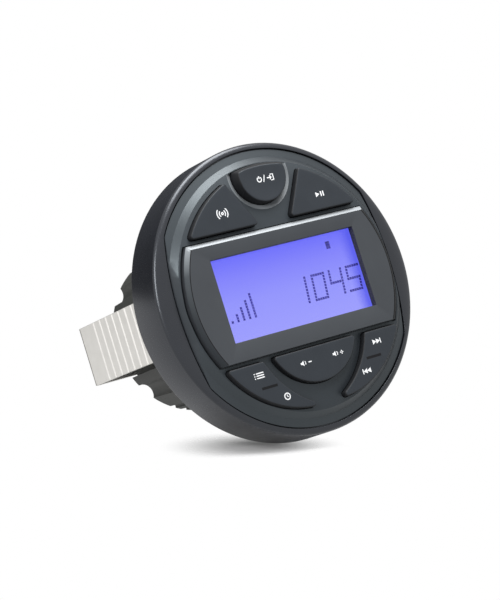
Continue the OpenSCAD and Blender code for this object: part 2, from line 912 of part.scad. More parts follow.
module rear_housing() color("#3c3d3b") {
    difference() {
        union() {
            front(d_tail)
                cylinder(r1 = tail_r, r2 = body_r, h = housing_depth);
            slab(-collar_len, 0)
                circle(r = collar_r);
            slab(0, bezel_back + flange_t)
                circle(r = neck_r);
            slab(bezel_back, bezel_back + flange_t)
                circle(r = flange_r);
        }
        front() {
            for (a = [scoop_angle, 180 - scoop_angle, 180 + scoop_angle, -scoop_angle])
                flute(a, scoop_r, scoop_depth);
            for (s = [0, 180], k = [0:fin_count - 1])
                flute(s + fin_angle(k), fin_r, fin_r);
        }
        slab(d_tail - 1, -flute_start)
            for (x = [-1, 1])
                plate_at([x * (side_flat + reach / 2), 0], reach, side_flat_h);
        difference() {
            intersection() {
                front(d_floor)
                    cylinder(r1 = tail_r - housing_wall, r2 = body_r - housing_wall,
                        h = bezel_back + flange_t - d_floor + 1);
                slab(d_floor, bezel_back + flange_t + 1)
                    square([2 * cavity_half_w, 2 * reach], center = true);
            }
            slab(d_floor - 1, d_main_front - flange_t)
                for (x = [-1, 1])
                    plate_at([x * (cavity_half_w - rail_w / 2), main_board_z - rail_h / 2], rail_w, rail_h);
            for (x = [-1, 1])
                bar([x * stud_x, 0], boss_stud_r, d_floor - 1, d_floor + boss_stud_len);
        }
        for (x = [-1, 1])
            bar([x * stud_x, 0], stud_r, d_tail - 1, d_tail + stud_depth);
        bar([0, aerial_z], aerial_r, d_tail - 1, d_floor + 1);
        slab(d_tail - 1, d_floor + 1)
            plate_at([0, socket_z], socket_w, socket_h);
        for (p = flange_points())
            bar(p, screw_r + clear, bezel_back - 1, bezel_back + flange_t + 1);
    }
}

module housing_screws() color("#c4c5c8") {
    for (p = flange_points()) {
        bar(p, screw_head_r, bezel_back + flange_t, bezel_back + flange_t + screw_head_h);
        bar(p, screw_r, bezel_back - screw_bite, bezel_back + flange_t + 0.1);
    }
}

// Round socket for the aerial plug, with a flange inside the rear wall
module aerial_socket() color("#d2cfc6") {
    d_mouth = d_tail - aerial_proud;
    difference() {
        union() {
            bar([0, aerial_z], aerial_r, d_mouth, d_mouth + aerial_bore_len + aerial_base);
            bar([0, aerial_z], aerial_r + socket_flange, d_floor, d_floor + socket_flange_t);
        }
        bar([0, aerial_z], aerial_bore_r, d_mouth - 1, d_mouth + aerial_bore_len);
    }
}

// Box socket for the wiring plug, with a flange inside the rear wall
module harness_socket() color("#1c1c1f") {
    difference() {
        union() {
            slab(d_socket - socket_len, d_socket)
                plate_at([0, socket_z], socket_w, socket_h);
            slab(d_floor, d_floor + socket_flange_t)
                plate_at([0, socket_z], socket_w + 2 * socket_flange, socket_h + 2 * socket_flange);
        }
        slab(d_tail - socket_proud - 1, d_socket - socket_floor)
            plate_at([0, socket_z], socket_w - 2 * socket_wall, socket_h - 2 * socket_wall);
        for (p = pin_points())
            bar(p, pin_r, d_tail, d_socket + 1);
    }
}

function pin_points() = [for (c = [0:pin_cols - 1], r = [0:pin_rows - 1])
    [(c - (pin_cols - 1) / 2) * pin_col_pitch, socket_z + (r - (pin_rows - 1) / 2) * pin_row_pitch]];

module harness_pins() color("#cdb26a") {
    for (p = pin_points())
        bar(p, pin_r, d_socket - socket_floor - pin_len, d_socket + pin_tail);
}

module mount_studs() color("#c9cacc") {
    length = stud_depth + stud_len;
    for (x = [-1, 1])
        front(d_tail + stud_depth)
            translate([x * stud_x, 0, 0])
                mirror([0, 0, 1])
                    rotate_extrude()
                        polygon([[0, 0], [stud_r, 0], [stud_r, length - stud_tip],
                            [stud_r - stud_tip, length], [0, length]]);
}

// The bracket's U in plan, shrunk by inset on every side
module bracket_plan(inset) {
    x = leg_x - inset;
    y = y_back - inset;
    r = bend_r - inset;
    translate([-x, tip_gap - inset])
        square([2 * x, y - r - tip_gap + inset]);
    translate([r - x, y - 2 * r])
        square([2 * (x - r), 2 * r]);
    for (s = [-1, 1])
        translate([s * (x - r), y - r])
            circle(r = r);
}

module u_bracket() color("#d4d2ce") {
    difference() {
        linear_extrude(height = bracket_w, center = true)
            difference() {
                bracket_plan(0);
                bracket_plan(bracket_t);
            }
        for (x = [-1, 1], k = [0:score_count - 1])
            translate([x * leg_x, y_back - score_start - k * score_pitch, -bracket_w / 2 - 1])
                linear_extrude(height = bracket_w + 2)
                    polygon([[-x * score_depth, 0], [x * clear, -score_cut], [x * clear, score_cut]]);
        for (x = [-1, 1])
            bar([x * stud_x, 0], stud_r + stud_gap, -y_back - 1, -y_web + 1);
    }
}

module washers() color("#c4c5c8") {
    for (x = [-1, 1])
        slab(-y_back - washer_t, -y_back)
            translate([x * stud_x, 0])
                difference() {
                    circle(r = washer_r);
                    circle(r = stud_r + stud_gap);
                }
}

module nut(x) {
    translate([x, y_back + washer_t + clear, 0])
        rotate([-90, 0, 0])
            difference() {
                cylinder(r = nut_af / sqrt(3), h = nut_h, $fn = 6);
                translate([0, 0, -1])
                    cylinder(r = stud_r + nut_fit, h = nut_h + 2);
            }
}

module left_nut() color("#cdced0") nut(-stud_x);

module right_nut() color("#cdced0") nut(stud_x);

bezel_ring();
panel_gasket();
face_plate();
display_panel();
display_window();
lcd_cell();
light_guide();
backlight_leds();
lcd_holder();
left_key();
power_key();
right_key();
left_rocker();
centre_rocker();
right_rocker();
keypad_mat();
tact_switches();
front_board();
front_board_screws();
board_header();
main_board();
tuner_can();
capacitors();
amplifier_chip();
heat_spreader();
rear_housing();
housing_screws();
aerial_socket();
harness_socket();
harness_pins();
mount_studs();
u_bracket();
washers();
left_nut();
right_nut();
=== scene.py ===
import math
import bmesh
import bpy
import numpy as np
from mathutils import Matrix, Vector


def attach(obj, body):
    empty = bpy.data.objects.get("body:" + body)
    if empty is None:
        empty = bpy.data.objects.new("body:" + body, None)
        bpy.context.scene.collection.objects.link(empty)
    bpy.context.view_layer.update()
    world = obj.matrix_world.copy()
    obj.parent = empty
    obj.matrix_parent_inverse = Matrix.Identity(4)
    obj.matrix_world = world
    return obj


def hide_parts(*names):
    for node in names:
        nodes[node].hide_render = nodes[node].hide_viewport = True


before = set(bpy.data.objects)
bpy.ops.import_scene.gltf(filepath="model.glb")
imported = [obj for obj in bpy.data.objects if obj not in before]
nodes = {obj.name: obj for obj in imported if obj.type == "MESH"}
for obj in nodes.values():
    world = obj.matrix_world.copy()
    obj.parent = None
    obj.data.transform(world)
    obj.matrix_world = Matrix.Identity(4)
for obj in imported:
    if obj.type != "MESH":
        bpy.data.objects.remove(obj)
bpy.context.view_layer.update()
scene = bpy.context.scene
scene.view_settings.view_transform = "Standard"

# Shapes are worked out in millimetres as x, depth and z: depth counts forwards from the bezel's rear face.
mm = 0.001
fixedBody = "receiver"
print("frame loaded:", len(nodes), "nodes")


# one node with its settings and links; a key that is a socket sets or feeds it
def addNode(tree, kind, settings=None, links=None):
    node = tree.nodes.new(kind)
    for key, value in (settings or {}).items():
        if key in node.inputs:
            node.inputs[key].default_value = value
        else:
            setattr(node, key, value)
    for key, source in (links or {}).items():
        tree.links.new(source, node.inputs[key])
    return node


# sRGB hex to linear: below 0.04045 a straight line, above it a power of 2.4
def linear(code):
    parts = [int(code[i:i + 2], 16) / 255 for i in (1, 3, 5)]
    return tuple(c / 12.92 if c <= 0.04045 else ((c + 0.055) / 1.055) ** 2.4 for c in parts) + (1.0,)


def newMaterial(name):
    material = bpy.data.materials.new(name)
    material.use_nodes = True
    tree = material.node_tree
    tree.nodes.clear()
    return material, tree


# the bump's height as a part of the grain's width
grainRise = 0.2
white = (1.0, 1.0, 1.0, 1.0)


# a grained or plain surface: two tones on a noise, its bump and its roughness from a finer noise
def grainedFinish(name, look):
    material, tree = newMaterial(name)
    place = addNode(tree, "ShaderNodeTexCoord").outputs["Object"]
    cloud = addNode(tree, "ShaderNodeTexNoise", {"Scale": 1 / (look["cloudMm"] * mm), "Detail": 3.0},
                    {"Vector": place})
    grain = addNode(tree, "ShaderNodeTexNoise", {"Scale": 1 / (look["grainMm"] * mm), "Detail": 2.0},
                    {"Vector": place})
    tone = addNode(tree, "ShaderNodeMix", {"data_type": "RGBA"}, {"Factor": cloud.outputs["Fac"]})
    tone.inputs[6].default_value = linear(look["dark"])
    tone.inputs[7].default_value = linear(look["pale"])
    rough = addNode(tree, "ShaderNodeMapRange", {"To Min": look["rough"][0], "To Max": look["rough"][1]},
                    {"Value": grain.outputs["Fac"]})
    bump = addNode(tree, "ShaderNodeBump",
                   {"Strength": look["bump"], "Distance": look["grainMm"] * mm * grainRise},
                   {"Height": grain.outputs["Fac"]})
    way = bump.outputs["Normal"]
    if "crown" in look:  # the surface leans out with its distance from the axis, across and upwards
        lean = addNode(tree, "ShaderNodeVectorMath", {"operation": "MULTIPLY"}, {0: place})
        lean.inputs[1].default_value = (look["crown"][0], 0.0, look["crown"][1])
        both = addNode(tree, "ShaderNodeVectorMath", {"operation": "ADD"},
                       {0: way, 1: lean.outputs["Vector"]})
        whole = addNode(tree, "ShaderNodeVectorMath", {"operation": "NORMALIZE"}, {0: both.outputs["Vector"]})
        way = whole.outputs["Vector"]
    skin = addNode(tree, "ShaderNodeBsdfPrincipled", {"Metallic": look.get("metal", 0.0)},
                   {"Base Color": tone.outputs[2], "Roughness": rough.outputs["Result"], "Normal": way})
    if "ior" in look:
        skin.inputs["IOR"].default_value = look["ior"]
    # the tint colours the reflections cool: a painted cast of the light
    if "tint" in look:
        skin.inputs["Specular Tint"].default_value = linear(look["tint"])
    addNode(tree, "ShaderNodeOutputMaterial", {}, {"Surface": skin.outputs["BSDF"]})
    return material


# Moulded ABS: dark charcoal with a fine spark-eroded grain that spreads highlights.
# The grain is finer in truth and is drawn at 0.35 mm to show.
bezelAbs = grainedFinish("abs_spark_eroded_bezel", {
    "dark": "#131417", "pale": "#1a1b1f", "cloudMm": 9, "grainMm": 0.35, "rough": (0.22, 0.3),
    "bump": 0.1, "ior": 1.48, "tint": "#dae3f4"})
# The bezel's front round and rim: a paler, more reflective copy of the bezel ABS, a painted highlight so they
# catch more light than the wall.
edgeHighlightAbs = grainedFinish("abs_bezel_edge_painted_highlight", {
    "dark": "#15161a", "pale": "#1c1d22", "cloudMm": 9, "grainMm": 0.35, "rough": (0.22, 0.3),
    "bump": 0.1, "ior": 1.58, "tint": "#e8eef6"})
# The face plate, moulded in the same grain: duller than the bezel, with a cool tint painted into its sheen.
faceAbs = grainedFinish("abs_spark_eroded_face", {
    "dark": "#191c20", "pale": "#1f2328", "cloudMm": 9, "grainMm": 0.35, "rough": (0.34, 0.44),
    "bump": 0.12, "ior": 1.64, "tint": "#dfecf2"})
# The plateau's front: a paler copy of the face ABS, painted light, with its shading leaned out as if crowned,
# so its sheen grows towards the top.
plateauLitAbs = grainedFinish("abs_plateau_painted_light", {
    "dark": "#262a2e", "pale": "#2d3136", "cloudMm": 9, "grainMm": 0.35, "rough": (0.34, 0.44),
    "bump": 0.12, "ior": 1.48, "tint": "#dfecf2", "crown": (2.5, 6.5)})
# The plate's side slopes: a paler, more matt copy of the face ABS, painted light that lifts their shade, so
# they show no highlight.
flankLitAbs = grainedFinish("abs_flank_painted_light", {
    "dark": "#2c2f33", "pale": "#34373b", "cloudMm": 9, "grainMm": 0.35, "rough": (0.4, 0.5),
    "bump": 0.12, "ior": 1.48, "tint": "#dfecf2"})
# Satin paint on the display panel: an even dark grey.
panelAbs = grainedFinish("abs_satin_painted_panel", {
    "dark": "#313337", "pale": "#393c40", "cloudMm": 12, "grainMm": 0.3, "rough": (0.42, 0.5),
    "bump": 0.08, "ior": 1.48, "tint": "#e6edf2"})
# Satin moulded keys with a faint crown: darker than the panel, with a soft sheen whose cool tint is painted.
keyAbs = grainedFinish("abs_satin_moulded_keys", {
    "dark": "#1c1f24", "pale": "#24282d", "cloudMm": 6, "grainMm": 0.3, "rough": (0.36, 0.45),
    "bump": 0.1, "ior": 1.48, "tint": "#e2ebf4", "crown": (0.7, 0.7)})
# Painted shade on the keys' sides: black and dull, so they read as a dark line under each top.
keySideShadeAbs = grainedFinish("abs_key_sides_painted_shade", {
    "dark": "#0b0c0f", "pale": "#101216", "cloudMm": 4, "grainMm": 0.3, "rough": (0.55, 0.7),
    "bump": 0.1, "ior": 1.36})
# Ring round the power key: a paler copy of the plate's ABS, painted light for a slope that catches more light
# than the plate about it.
ringLitAbs = grainedFinish("abs_power_ring_painted_light", {
    "dark": "#7b8084", "pale": "#858a8e", "cloudMm": 4, "grainMm": 0.3, "rough": (0.45, 0.55),
    "bump": 0.06, "ior": 1.45})
# Sides of the display opening: dark grey with a painted reflection of the glow beside them.
wellGlowAbs = grainedFinish("abs_display_well_painted_glow", {
    "dark": "#24252c", "pale": "#2b2c34", "cloudMm": 4, "grainMm": 0.3, "rough": (0.5, 0.6),
    "bump": 0.06, "ior": 1.4})
# Vacuum-metallised strip with a satin lacquer: reflects what is over it, softened.
silverTrim = grainedFinish("metallised_satin_trim", {
    "dark": "#868a8d", "pale": "#909396", "cloudMm": 6, "grainMm": 0.25, "rough": (0.5, 0.6),
    "bump": 0.05, "metal": 1.0})
# EPDM sheet: nearly black with open pores.
gasketRubber = grainedFinish("epdm_foam_gasket", {
    "dark": "#0c0c0d", "pale": "#151516", "cloudMm": 3, "grainMm": 0.5, "rough": (0.75, 0.9),
    "bump": 0.5, "ior": 1.5})
# Powder coat on a zinc casting: dark olive grey with slight orange peel.
housingCoat = grainedFinish("powder_coated_casting", {
    "dark": "#2a2b29", "pale": "#343532", "cloudMm": 7, "grainMm": 0.6, "rough": (0.45, 0.6),
    "bump": 0.25, "ior": 1.4})
# Bright zinc plate on rolled strip: pale, slightly warm, with fine mill lines.
bracketZinc = grainedFinish("zinc_plated_strip", {
    "dark": "#d2d0cb", "pale": "#dedcd8", "cloudMm": 4, "grainMm": 0.3, "rough": (0.38, 0.5),
    "bump": 0.06, "metal": 1.0})
# The same plate cut by the scoring tool: smoother, with a little more shine.
scoredZinc = grainedFinish("zinc_scored_bright", {
    "dark": "#cfcdc9", "pale": "#e3e1dd", "cloudMm": 2, "grainMm": 0.2, "rough": (0.36, 0.46),
    "bump": 0.03, "metal": 1.0})
# Painted shade where the strip is bent: a darker, duller copy of the plate.
bendShadeZinc = grainedFinish("zinc_bend_painted_shade", {
    "dark": "#8a8883", "pale": "#969490", "cloudMm": 2, "grainMm": 0.3, "rough": (0.5, 0.6),
    "bump": 0.1, "metal": 1.0})
# Zinc on turned steel: a harder shine than the strip's.
platedSteel = grainedFinish("zinc_plated_steel", {
    "dark": "#b9babc", "pale": "#c8c9ca", "cloudMm": 2, "grainMm": 0.2, "rough": (0.25, 0.35),
    "bump": 0.05, "metal": 1.0})
# Moulded nylon: black with a low sheen.
socketNylon = grainedFinish("nylon_moulded_socket", {
    "dark": "#0f0f11", "pale": "#17171a", "cloudMm": 4, "grainMm": 0.3, "rough": (0.45, 0.55),
    "bump": 0.1, "ior": 1.53})
# Drawn brass: warm yellow and smooth.
pinBrass = grainedFinish("brass_drawn_pins", {
    "dark": "#b99a52", "pale": "#c9ab62", "cloudMm": 2, "grainMm": 0.2, "rough": (0.25, 0.35),
    "bump": 0.05, "metal": 1.0})
# Solder mask on a board: deep green with a soft gloss.
boardMask = grainedFinish("solder_mask_board", {
    "dark": "#12432a", "pale": "#195335", "cloudMm": 4, "grainMm": 0.4, "rough": (0.35, 0.45),
    "bump": 0.1, "ior": 1.5})
# White filled resin: pale and matt, so it spreads light.
whiteResin = grainedFinish("white_filled_resin", {
    "dark": "#d6d6d2", "pale": "#e2e2de", "cloudMm": 5, "grainMm": 0.3, "rough": (0.5, 0.6),
    "bump": 0.05, "ior": 1.5})
# Moulded silicone: mid grey and dull.
matSilicone = grainedFinish("silicone_moulded_mat", {
    "dark": "#74777b", "pale": "#828589", "cloudMm": 5, "grainMm": 0.3, "rough": (0.6, 0.7),
    "bump": 0.05, "ior": 1.41})
# Shrink sleeve: dark blue and glossy.
sleevePvc = grainedFinish("pvc_shrink_sleeve", {
    "dark": "#1a2547", "pale": "#223058", "cloudMm": 3, "grainMm": 0.3, "rough": (0.2, 0.3),
    "bump": 0.03, "ior": 1.53})
# Rolled aluminium: pale grey with a soft metal sheen.
plainAluminium = grainedFinish("aluminium_rolled_plate", {
    "dark": "#b0b2b5", "pale": "#bdbfc1", "cloudMm": 3, "grainMm": 0.25, "rough": (0.35, 0.45),
    "bump": 0.06, "metal": 1.0})
# Pad-printed white ink: flat and slightly soft.
legendInk = grainedFinish("pad_printed_white_ink", {
    "dark": "#e6e8ea", "pale": "#f2f3f4", "cloudMm": 1, "grainMm": 0.15, "rough": (0.5, 0.6),
    "bump": 0.03, "ior": 1.5})


# clear acrylic: light passes almost straight through, with a thin reflection on top
acrylic = {"rough": 0.12, "ior": 1.2}


def clearAcrylic():
    material, tree = newMaterial("acrylic_clear_window")
    through = addNode(tree, "ShaderNodeBsdfTransparent", {"Color": white})
    shine = addNode(tree, "ShaderNodeBsdfGlossy", {"Color": white, "Roughness": acrylic["rough"]})
    edge = addNode(tree, "ShaderNodeFresnel", {"IOR": acrylic["ior"]})
    both = addNode(tree, "ShaderNodeMixShader", {}, {"Fac": edge.outputs["Fac"]})
    tree.links.new(through.outputs["BSDF"], both.inputs[1])
    tree.links.new(shine.outputs["BSDF"], both.inputs[2])
    addNode(tree, "ShaderNodeOutputMaterial", {}, {"Surface": both.outputs["Shader"]})
    return material


# back-lit display: violet blue, palest low in the middle, deeper along the top and the right; places in mm
glowing = {"low": -14.5, "high": 14.5, "sideFrom": 25.5, "sideTo": 30.2, "sideShare": 0.85,
           "sideTone": "#5a5ff0",
           "tones": ((0.0, "#9c9dfe"), (0.45, "#9294fd"), (0.75, "#8283fc"), (1.0, "#6c6efb"))}


def backLitDisplay():
    g = glowing
    material, tree = newMaterial("lcd_backlit_blue")
    place = addNode(tree, "ShaderNodeTexCoord").outputs["Object"]
    parts = addNode(tree, "ShaderNodeSeparateXYZ", {}, {"Vector": place})
    rise = addNode(tree, "ShaderNodeMapRange", {"From Min": g["low"] * mm, "From Max": g["high"] * mm},
                   {"Value": parts.outputs["Z"]})
    ramp = addNode(tree, "ShaderNodeValToRGB", {}, {"Fac": rise.outputs["Result"]})
    setTones(ramp, g["tones"])
    side = addNode(tree, "ShaderNodeMapRange",
                   {"From Min": g["sideFrom"] * mm, "From Max": g["sideTo"] * mm, "To Max": g["sideShare"]},
                   {"Value": parts.outputs["X"]})
    tone = addNode(tree, "ShaderNodeMix", {"data_type": "RGBA"}, {"Factor": side.outputs["Result"]})
    tree.links.new(ramp.outputs["Color"], tone.inputs[6])
    tone.inputs[7].default_value = linear(g["sideTone"])
    glow = addNode(tree, "ShaderNodeEmission", {"Strength": 1.0}, {"Color": tone.outputs[2]})
    addNode(tree, "ShaderNodeOutputMaterial", {}, {"Surface": glow.outputs["Emission"]})
    return material


# the first and last tones go on a ramp's own two marks, the others on new ones
def setTones(ramp, tones):
    marks = ramp.color_ramp.elements
    for i, (spot, code) in enumerate((tones[0], tones[-1])):
        marks[i].position = spot
        marks[i].color = linear(code)
    for spot, code in tones[1:-1]:
        marks.new(spot).color = linear(code)


# the panel's end bevels: trim with painted light, bright at the upper left corner as a painted highlight and
# duller downwards and to the right as painted shade; mm
bevelEnd = {"low": -4.0, "high": 21.0, "right": 10.0, "left": -10.0, "rightShade": "#0e1012", "rough": 0.55,
            "ior": 1.25, "tones": ((0.0, "#2e3236"), (0.6, "#3c4145"), (1.0, "#868b8f"))}


def endBevelPaintedLight():
    b = bevelEnd
    material, tree = newMaterial("trim_end_painted_light")
    place = addNode(tree, "ShaderNodeTexCoord").outputs["Object"]
    parts = addNode(tree, "ShaderNodeSeparateXYZ", {}, {"Vector": place})
    rise = addNode(tree, "ShaderNodeMapRange", {"From Min": b["low"] * mm, "From Max": b["high"] * mm},
                   {"Value": parts.outputs["Z"]})
    ramp = addNode(tree, "ShaderNodeValToRGB", {}, {"Fac": rise.outputs["Result"]})
    setTones(ramp, b["tones"])
    left = addNode(tree, "ShaderNodeMapRange", {"From Min": b["right"] * mm, "From Max": b["left"] * mm},
                   {"Value": parts.outputs["X"]})
    tone = addNode(tree, "ShaderNodeMix", {"data_type": "RGBA"}, {"Factor": left.outputs["Result"]})
    tone.inputs[6].default_value = linear(b["rightShade"])
    tree.links.new(ramp.outputs["Color"], tone.inputs[7])
    skin = addNode(tree, "ShaderNodeBsdfPrincipled", {"Roughness": b["rough"], "IOR": b["ior"]},
                   {"Base Color": tone.outputs[2]})
    addNode(tree, "ShaderNodeOutputMaterial", {}, {"Surface": skin.outputs["BSDF"]})
    return material


endBevelPaint = endBevelPaintedLight()
windowAcrylic = clearAcrylic()
lcdGlow = backLitDisplay()
# Liquid-crystal dots: they dim the glow behind them to indigo.
lcdInk = grainedFinish("lcd_dark_dots", {
    "dark": "#3a34a8", "pale": "#4640b4", "cloudMm": 1, "grainMm": 0.2, "rough": (0.5, 0.6),
    "bump": 0.02, "ior": 1.5})
# Dull grey flock on the studio's cards.
cardGrey = grainedFinish("grey_flock_card", {
    "dark": "#56585c", "pale": "#5c5e62", "cloudMm": 30, "grainMm": 2, "rough": (0.9, 1.0), "bump": 0.1,
    "ior": 1.1})
# Painted shade for unlit plastic deep in a slot: near black and dull.
grooveShade = grainedFinish("abs_recess_painted_shade", {
    "dark": "#08080a", "pale": "#0d0d10", "cloudMm": 3, "grainMm": 0.3, "rough": (0.7, 0.85),
    "bump": 0.1, "ior": 1.3})
print("materials made")


# row r, column c of a grid to quads; the columns close on themselves if asked
def gridFaces(rows, cols, closed=True):
    r, c = np.meshgrid(np.arange(rows - 1), np.arange(cols if closed else cols - 1), indexing="ij")
    n = (c + 1) % cols
    return np.stack([r * cols + c, r * cols + n, (r + 1) * cols + n, (r + 1) * cols + c], -1).reshape(-1, 4)


# points (x, depth, z) in mm and faces to a mesh object that rides on a body
def addPiece(name, points, faces, body, material, replaced=(), sharp=35.0, merge=True):
    place = np.stack([points[:, 0], -points[:, 1], points[:, 2]], 1) * mm
    mesh = bpy.data.meshes.new(name)
    mesh.from_pydata(place, [], [list(f) for f in faces])
    work = bmesh.new()
    work.from_mesh(mesh)
    if merge:
        bmesh.ops.remove_doubles(work, verts=work.verts, dist=1e-6)
    bmesh.ops.recalc_face_normals(work, faces=work.faces)
    work.to_mesh(mesh)
    work.free()
    return finishPiece(name, mesh, body, material, replaced, sharp)


# shading, place in the scene, finish, body, slot and the nodes that a piece stands for
def finishPiece(name, mesh, body, material, replaced, sharp):
    mesh.shade_smooth()
    mesh.set_sharp_from_angle(angle=math.radians(sharp))
    piece = bpy.data.objects.new(name, mesh)
    scene.collection.objects.link(piece)
    mesh.materials.clear()
    mesh.materials.append(material)
    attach(piece, body)
    if replaced:
        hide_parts(*replaced)
    return piece


# a merged copy of a solid, its flat faces joined; width rounds its sharp edges, none leaves them crisp
def softCopy(node, body, width, material, sharp=30.0, segments=3, crease=179.0):
    mesh = nodes[node].data.copy()
    work = bmesh.new()
    work.from_mesh(mesh)
    bmesh.ops.remove_doubles(work, verts=work.verts, dist=2e-6)
    bmesh.ops.dissolve_limit(work, angle_limit=math.radians(0.4), verts=work.verts, edges=work.edges)
    work.to_mesh(mesh)
    work.free()
    mesh.attributes.remove(mesh.attributes["custom_normal"])
    piece = finishPiece(node + "_body", mesh, body, material, (node,), crease if width else sharp)
    if not width:
        return piece
    edge = piece.modifiers.new("edge", "BEVEL")
    edge.width = width * mm
    edge.segments = segments
    edge.limit_method = "ANGLE"
    edge.angle_limit = math.radians(sharp)
    edge.harden_normals = True
    return piece


# middles in mm and outward directions of a piece's faces
def facesOf(piece):
    mid = np.zeros(len(piece.data.polygons) * 3)
    out = np.zeros_like(mid)
    piece.data.polygons.foreach_get("center", mid)
    piece.data.polygons.foreach_get("normal", out)
    return mid.reshape(-1, 3) / mm, out.reshape(-1, 3)


# further finishes of a piece, each with the mask of the faces that take it; the masks share no face
def finishFaces(piece, *parts):
    index = np.zeros(len(piece.data.polygons), np.int32)
    for number, (mask, material) in enumerate(parts, 1):
        piece.data.materials.append(material)
        index[mask] = number
    piece.data.polygons.foreach_set("material_index", index)


# a finish for a solid that stays as it is
def paint(node, material):
    data = nodes[node].data
    data.materials.clear()
    data.materials.append(material)


# face: sizes in front view and depths, mm
face = {"bezelR": 52.0, "bezelDraft": 0.25, "edgeD": 16.4, "partR": 49.65, "partD": 17.05, "flatHalf": 45.3,
        "flatR": 108.0, "plateauD": 19.3, "ledgeD": 15.0, "boreR": 44.3, "holeR": 38.3, "backD": 3.0}


# polar radius of the parting line: a circle, or a flatter arc about a far centre where that is nearer
def partingRadius(turn):
    off = face["flatR"] - face["flatHalf"]
    c = np.abs(np.cos(turn))
    side = -off * c + np.sqrt((off * c) ** 2 - off ** 2 + face["flatR"] ** 2)
    return np.minimum(face["partR"], side)


# bezel: a profile of radius and depth carried round the axis, its inner edge following the parting line
bezel = {"turns": 240, "frontRound": 1.5, "frontSteps": 8, "rearRound": 0.8, "rearSteps": 6,
         "lipRound": 0.22, "lipSteps": 4, "sharp": 40.0}


def buildBezel():
    turn = np.linspace(0, 2 * math.pi, bezel["turns"], endpoint=False)
    one = np.ones_like(turn)
    inner = partingRadius(turn)
    slope = (face["partD"] - face["edgeD"]) / (face["bezelR"] - face["partR"])
    rows = []

    def row(r, d):
        rows.append(np.stack([r * np.cos(turn), d * one, r * np.sin(turn)], 1))

    rear, wide = bezel["rearRound"], face["bezelR"] + face["bezelDraft"]
    row(face["holeR"] * one, 0.0)
    for a in np.linspace(0, math.pi / 2, bezel["rearSteps"]):  # quarter round at the rear edge
        row((wide - rear + rear * math.sin(a)) * one, rear - rear * math.cos(a))
    front = bezel["frontRound"]
    sweep = math.pi / 2 - math.atan(slope)
    for a in np.linspace(0, sweep, bezel["frontSteps"]):  # round from the side wall on to the rim
        row((face["bezelR"] - front + front * math.cos(a)) * one,
            face["edgeD"] - front * math.tan(sweep / 2) + front * math.sin(a))
    lip = bezel["lipRound"]
    outer = np.maximum(inner + lip, face["partR"])
    row(outer, face["partD"])
    row(inner + lip, face["partD"])
    for a in np.linspace(math.pi / 8, math.pi / 2, bezel["lipSteps"]):  # small round into the parting gap
        row(inner + lip - lip * math.sin(a), face["partD"] - lip + lip * math.cos(a))
    row(inner, face["ledgeD"])
    row(face["boreR"] * one, face["ledgeD"])
    row(face["boreR"] * one, face["backD"])
    row(face["holeR"] * one, face["backD"])
    rows.append(rows[0])
    piece = addPiece("bezel_ring_body", np.concatenate(rows), gridFaces(len(rows), bezel["turns"]), fixedBody,
                     bezelAbs, ("bezel_ring",), bezel["sharp"])
    # the front round and rim take the painted highlight
    brightEdge = -facesOf(piece)[0][:, 1] > face["edgeD"] - front
    finishFaces(piece, (brightEdge, edgeHighlightAbs))


buildBezel()
print("bezel made")

# face plate: limits, in mm and as parts of a direction, that tell the ring, the plateau and the slopes apart
plateParts = {"ringZ": 40.2, "ringR": 13.4, "ringReach": 43.8, "ringFront": 0.8, "ringSpan": 0.185,
              "flatFront": 0.99, "slack": 0.1, "slopeX": 41.5, "slopeZ": 28.0, "slopeSide": 0.75,
              "slopeFront": 0.2, "sharp": 25.0}


def buildPlate():
    p = plateParts
    piece = softCopy("face_plate", fixedBody, 0, faceAbs, p["sharp"])
    mid, out = facesOf(piece)
    x, y, z = mid.T
    ring = (np.hypot(x, z - p["ringZ"]) < p["ringR"]) & (np.hypot(x, z) < p["ringReach"])
    ring &= np.abs(out[:, 1] + p["ringFront"]) < p["ringSpan"]
    plateau = (out[:, 1] < -p["flatFront"]) & (np.abs(y + face["plateauD"]) < p["slack"])
    slope = (np.abs(x) > p["slopeX"]) & (np.abs(z) < p["slopeZ"])
    slope &= (np.abs(out[:, 0]) > p["slopeSide"]) & (out[:, 1] < -p["slopeFront"])
    # the ring, the plateau and the slopes take paler copies of the face ABS: painted light
    finishFaces(piece, (ring, ringLitAbs), (plateau, plateauLitAbs), (slope, flankLitAbs))


# bracket: the same for the scored faces and the bends; y in mm counts backwards
bracketParts = {"soft": 0.25, "softFrom": 75.0, "softSteps": 3, "sharp": 25.0, "cutTo": 55.0, "cutEnd": 0.3,
                "cutSide": 0.5, "bendFrom": 58.0, "bendX": 30.0, "bendTilt": 0.02}


def buildBracket():
    b = bracketParts
    piece = softCopy("u_bracket", "bracket_body", b["soft"], bracketZinc, b["softFrom"],
                     b["softSteps"], b["sharp"])
    mid, out = facesOf(piece)
    tilt = np.abs(out)
    scored = (tilt[:, 1] > b["cutEnd"]) & (tilt[:, 0] > b["cutSide"]) & (mid[:, 1] < b["cutTo"])
    # the faces by the bends take painted shade
    bent = (tilt[:, 1] > b["bendTilt"]) & (tilt[:, 0] > b["bendTilt"])
    bent &= (mid[:, 1] > b["bendFrom"]) & (np.abs(mid[:, 0]) > b["bendX"])
    finishFaces(piece, (scored, scoredZinc), (bent, bendShadeZinc))


buildPlate()
softCopy("panel_gasket", fixedBody, 0.3, gasketRubber)
softCopy("rear_housing", fixedBody, 0.4, housingCoat)
buildBracket()
softCopy("washers", "bracket_body", 0.12, platedSteel)
softCopy("aerial_socket", fixedBody, 0.25, platedSteel)
softCopy("harness_socket", fixedBody, 0.2, socketNylon)
print("copies made")

# studs and nuts: M4, lengths counted backwards from the bezel's rear face
fixing = {"studX": 15.0, "studR": 2.0, "pitch": 0.7, "threadDeep": 0.4, "studFrom": 52.0, "studTo": 82.5,
          "tip": 0.6, "studRows": 262, "studCols": 36, "studSharp": 60.0, "nutFrom": 67.0, "nutHigh": 3.2,
          "nutAcross": 7.0, "nutFace": 0.48, "nutCols": 72, "nutSteps": 6, "nutSharp": 25.0, "bore": 2.05,
          "chamfer": 0.4}


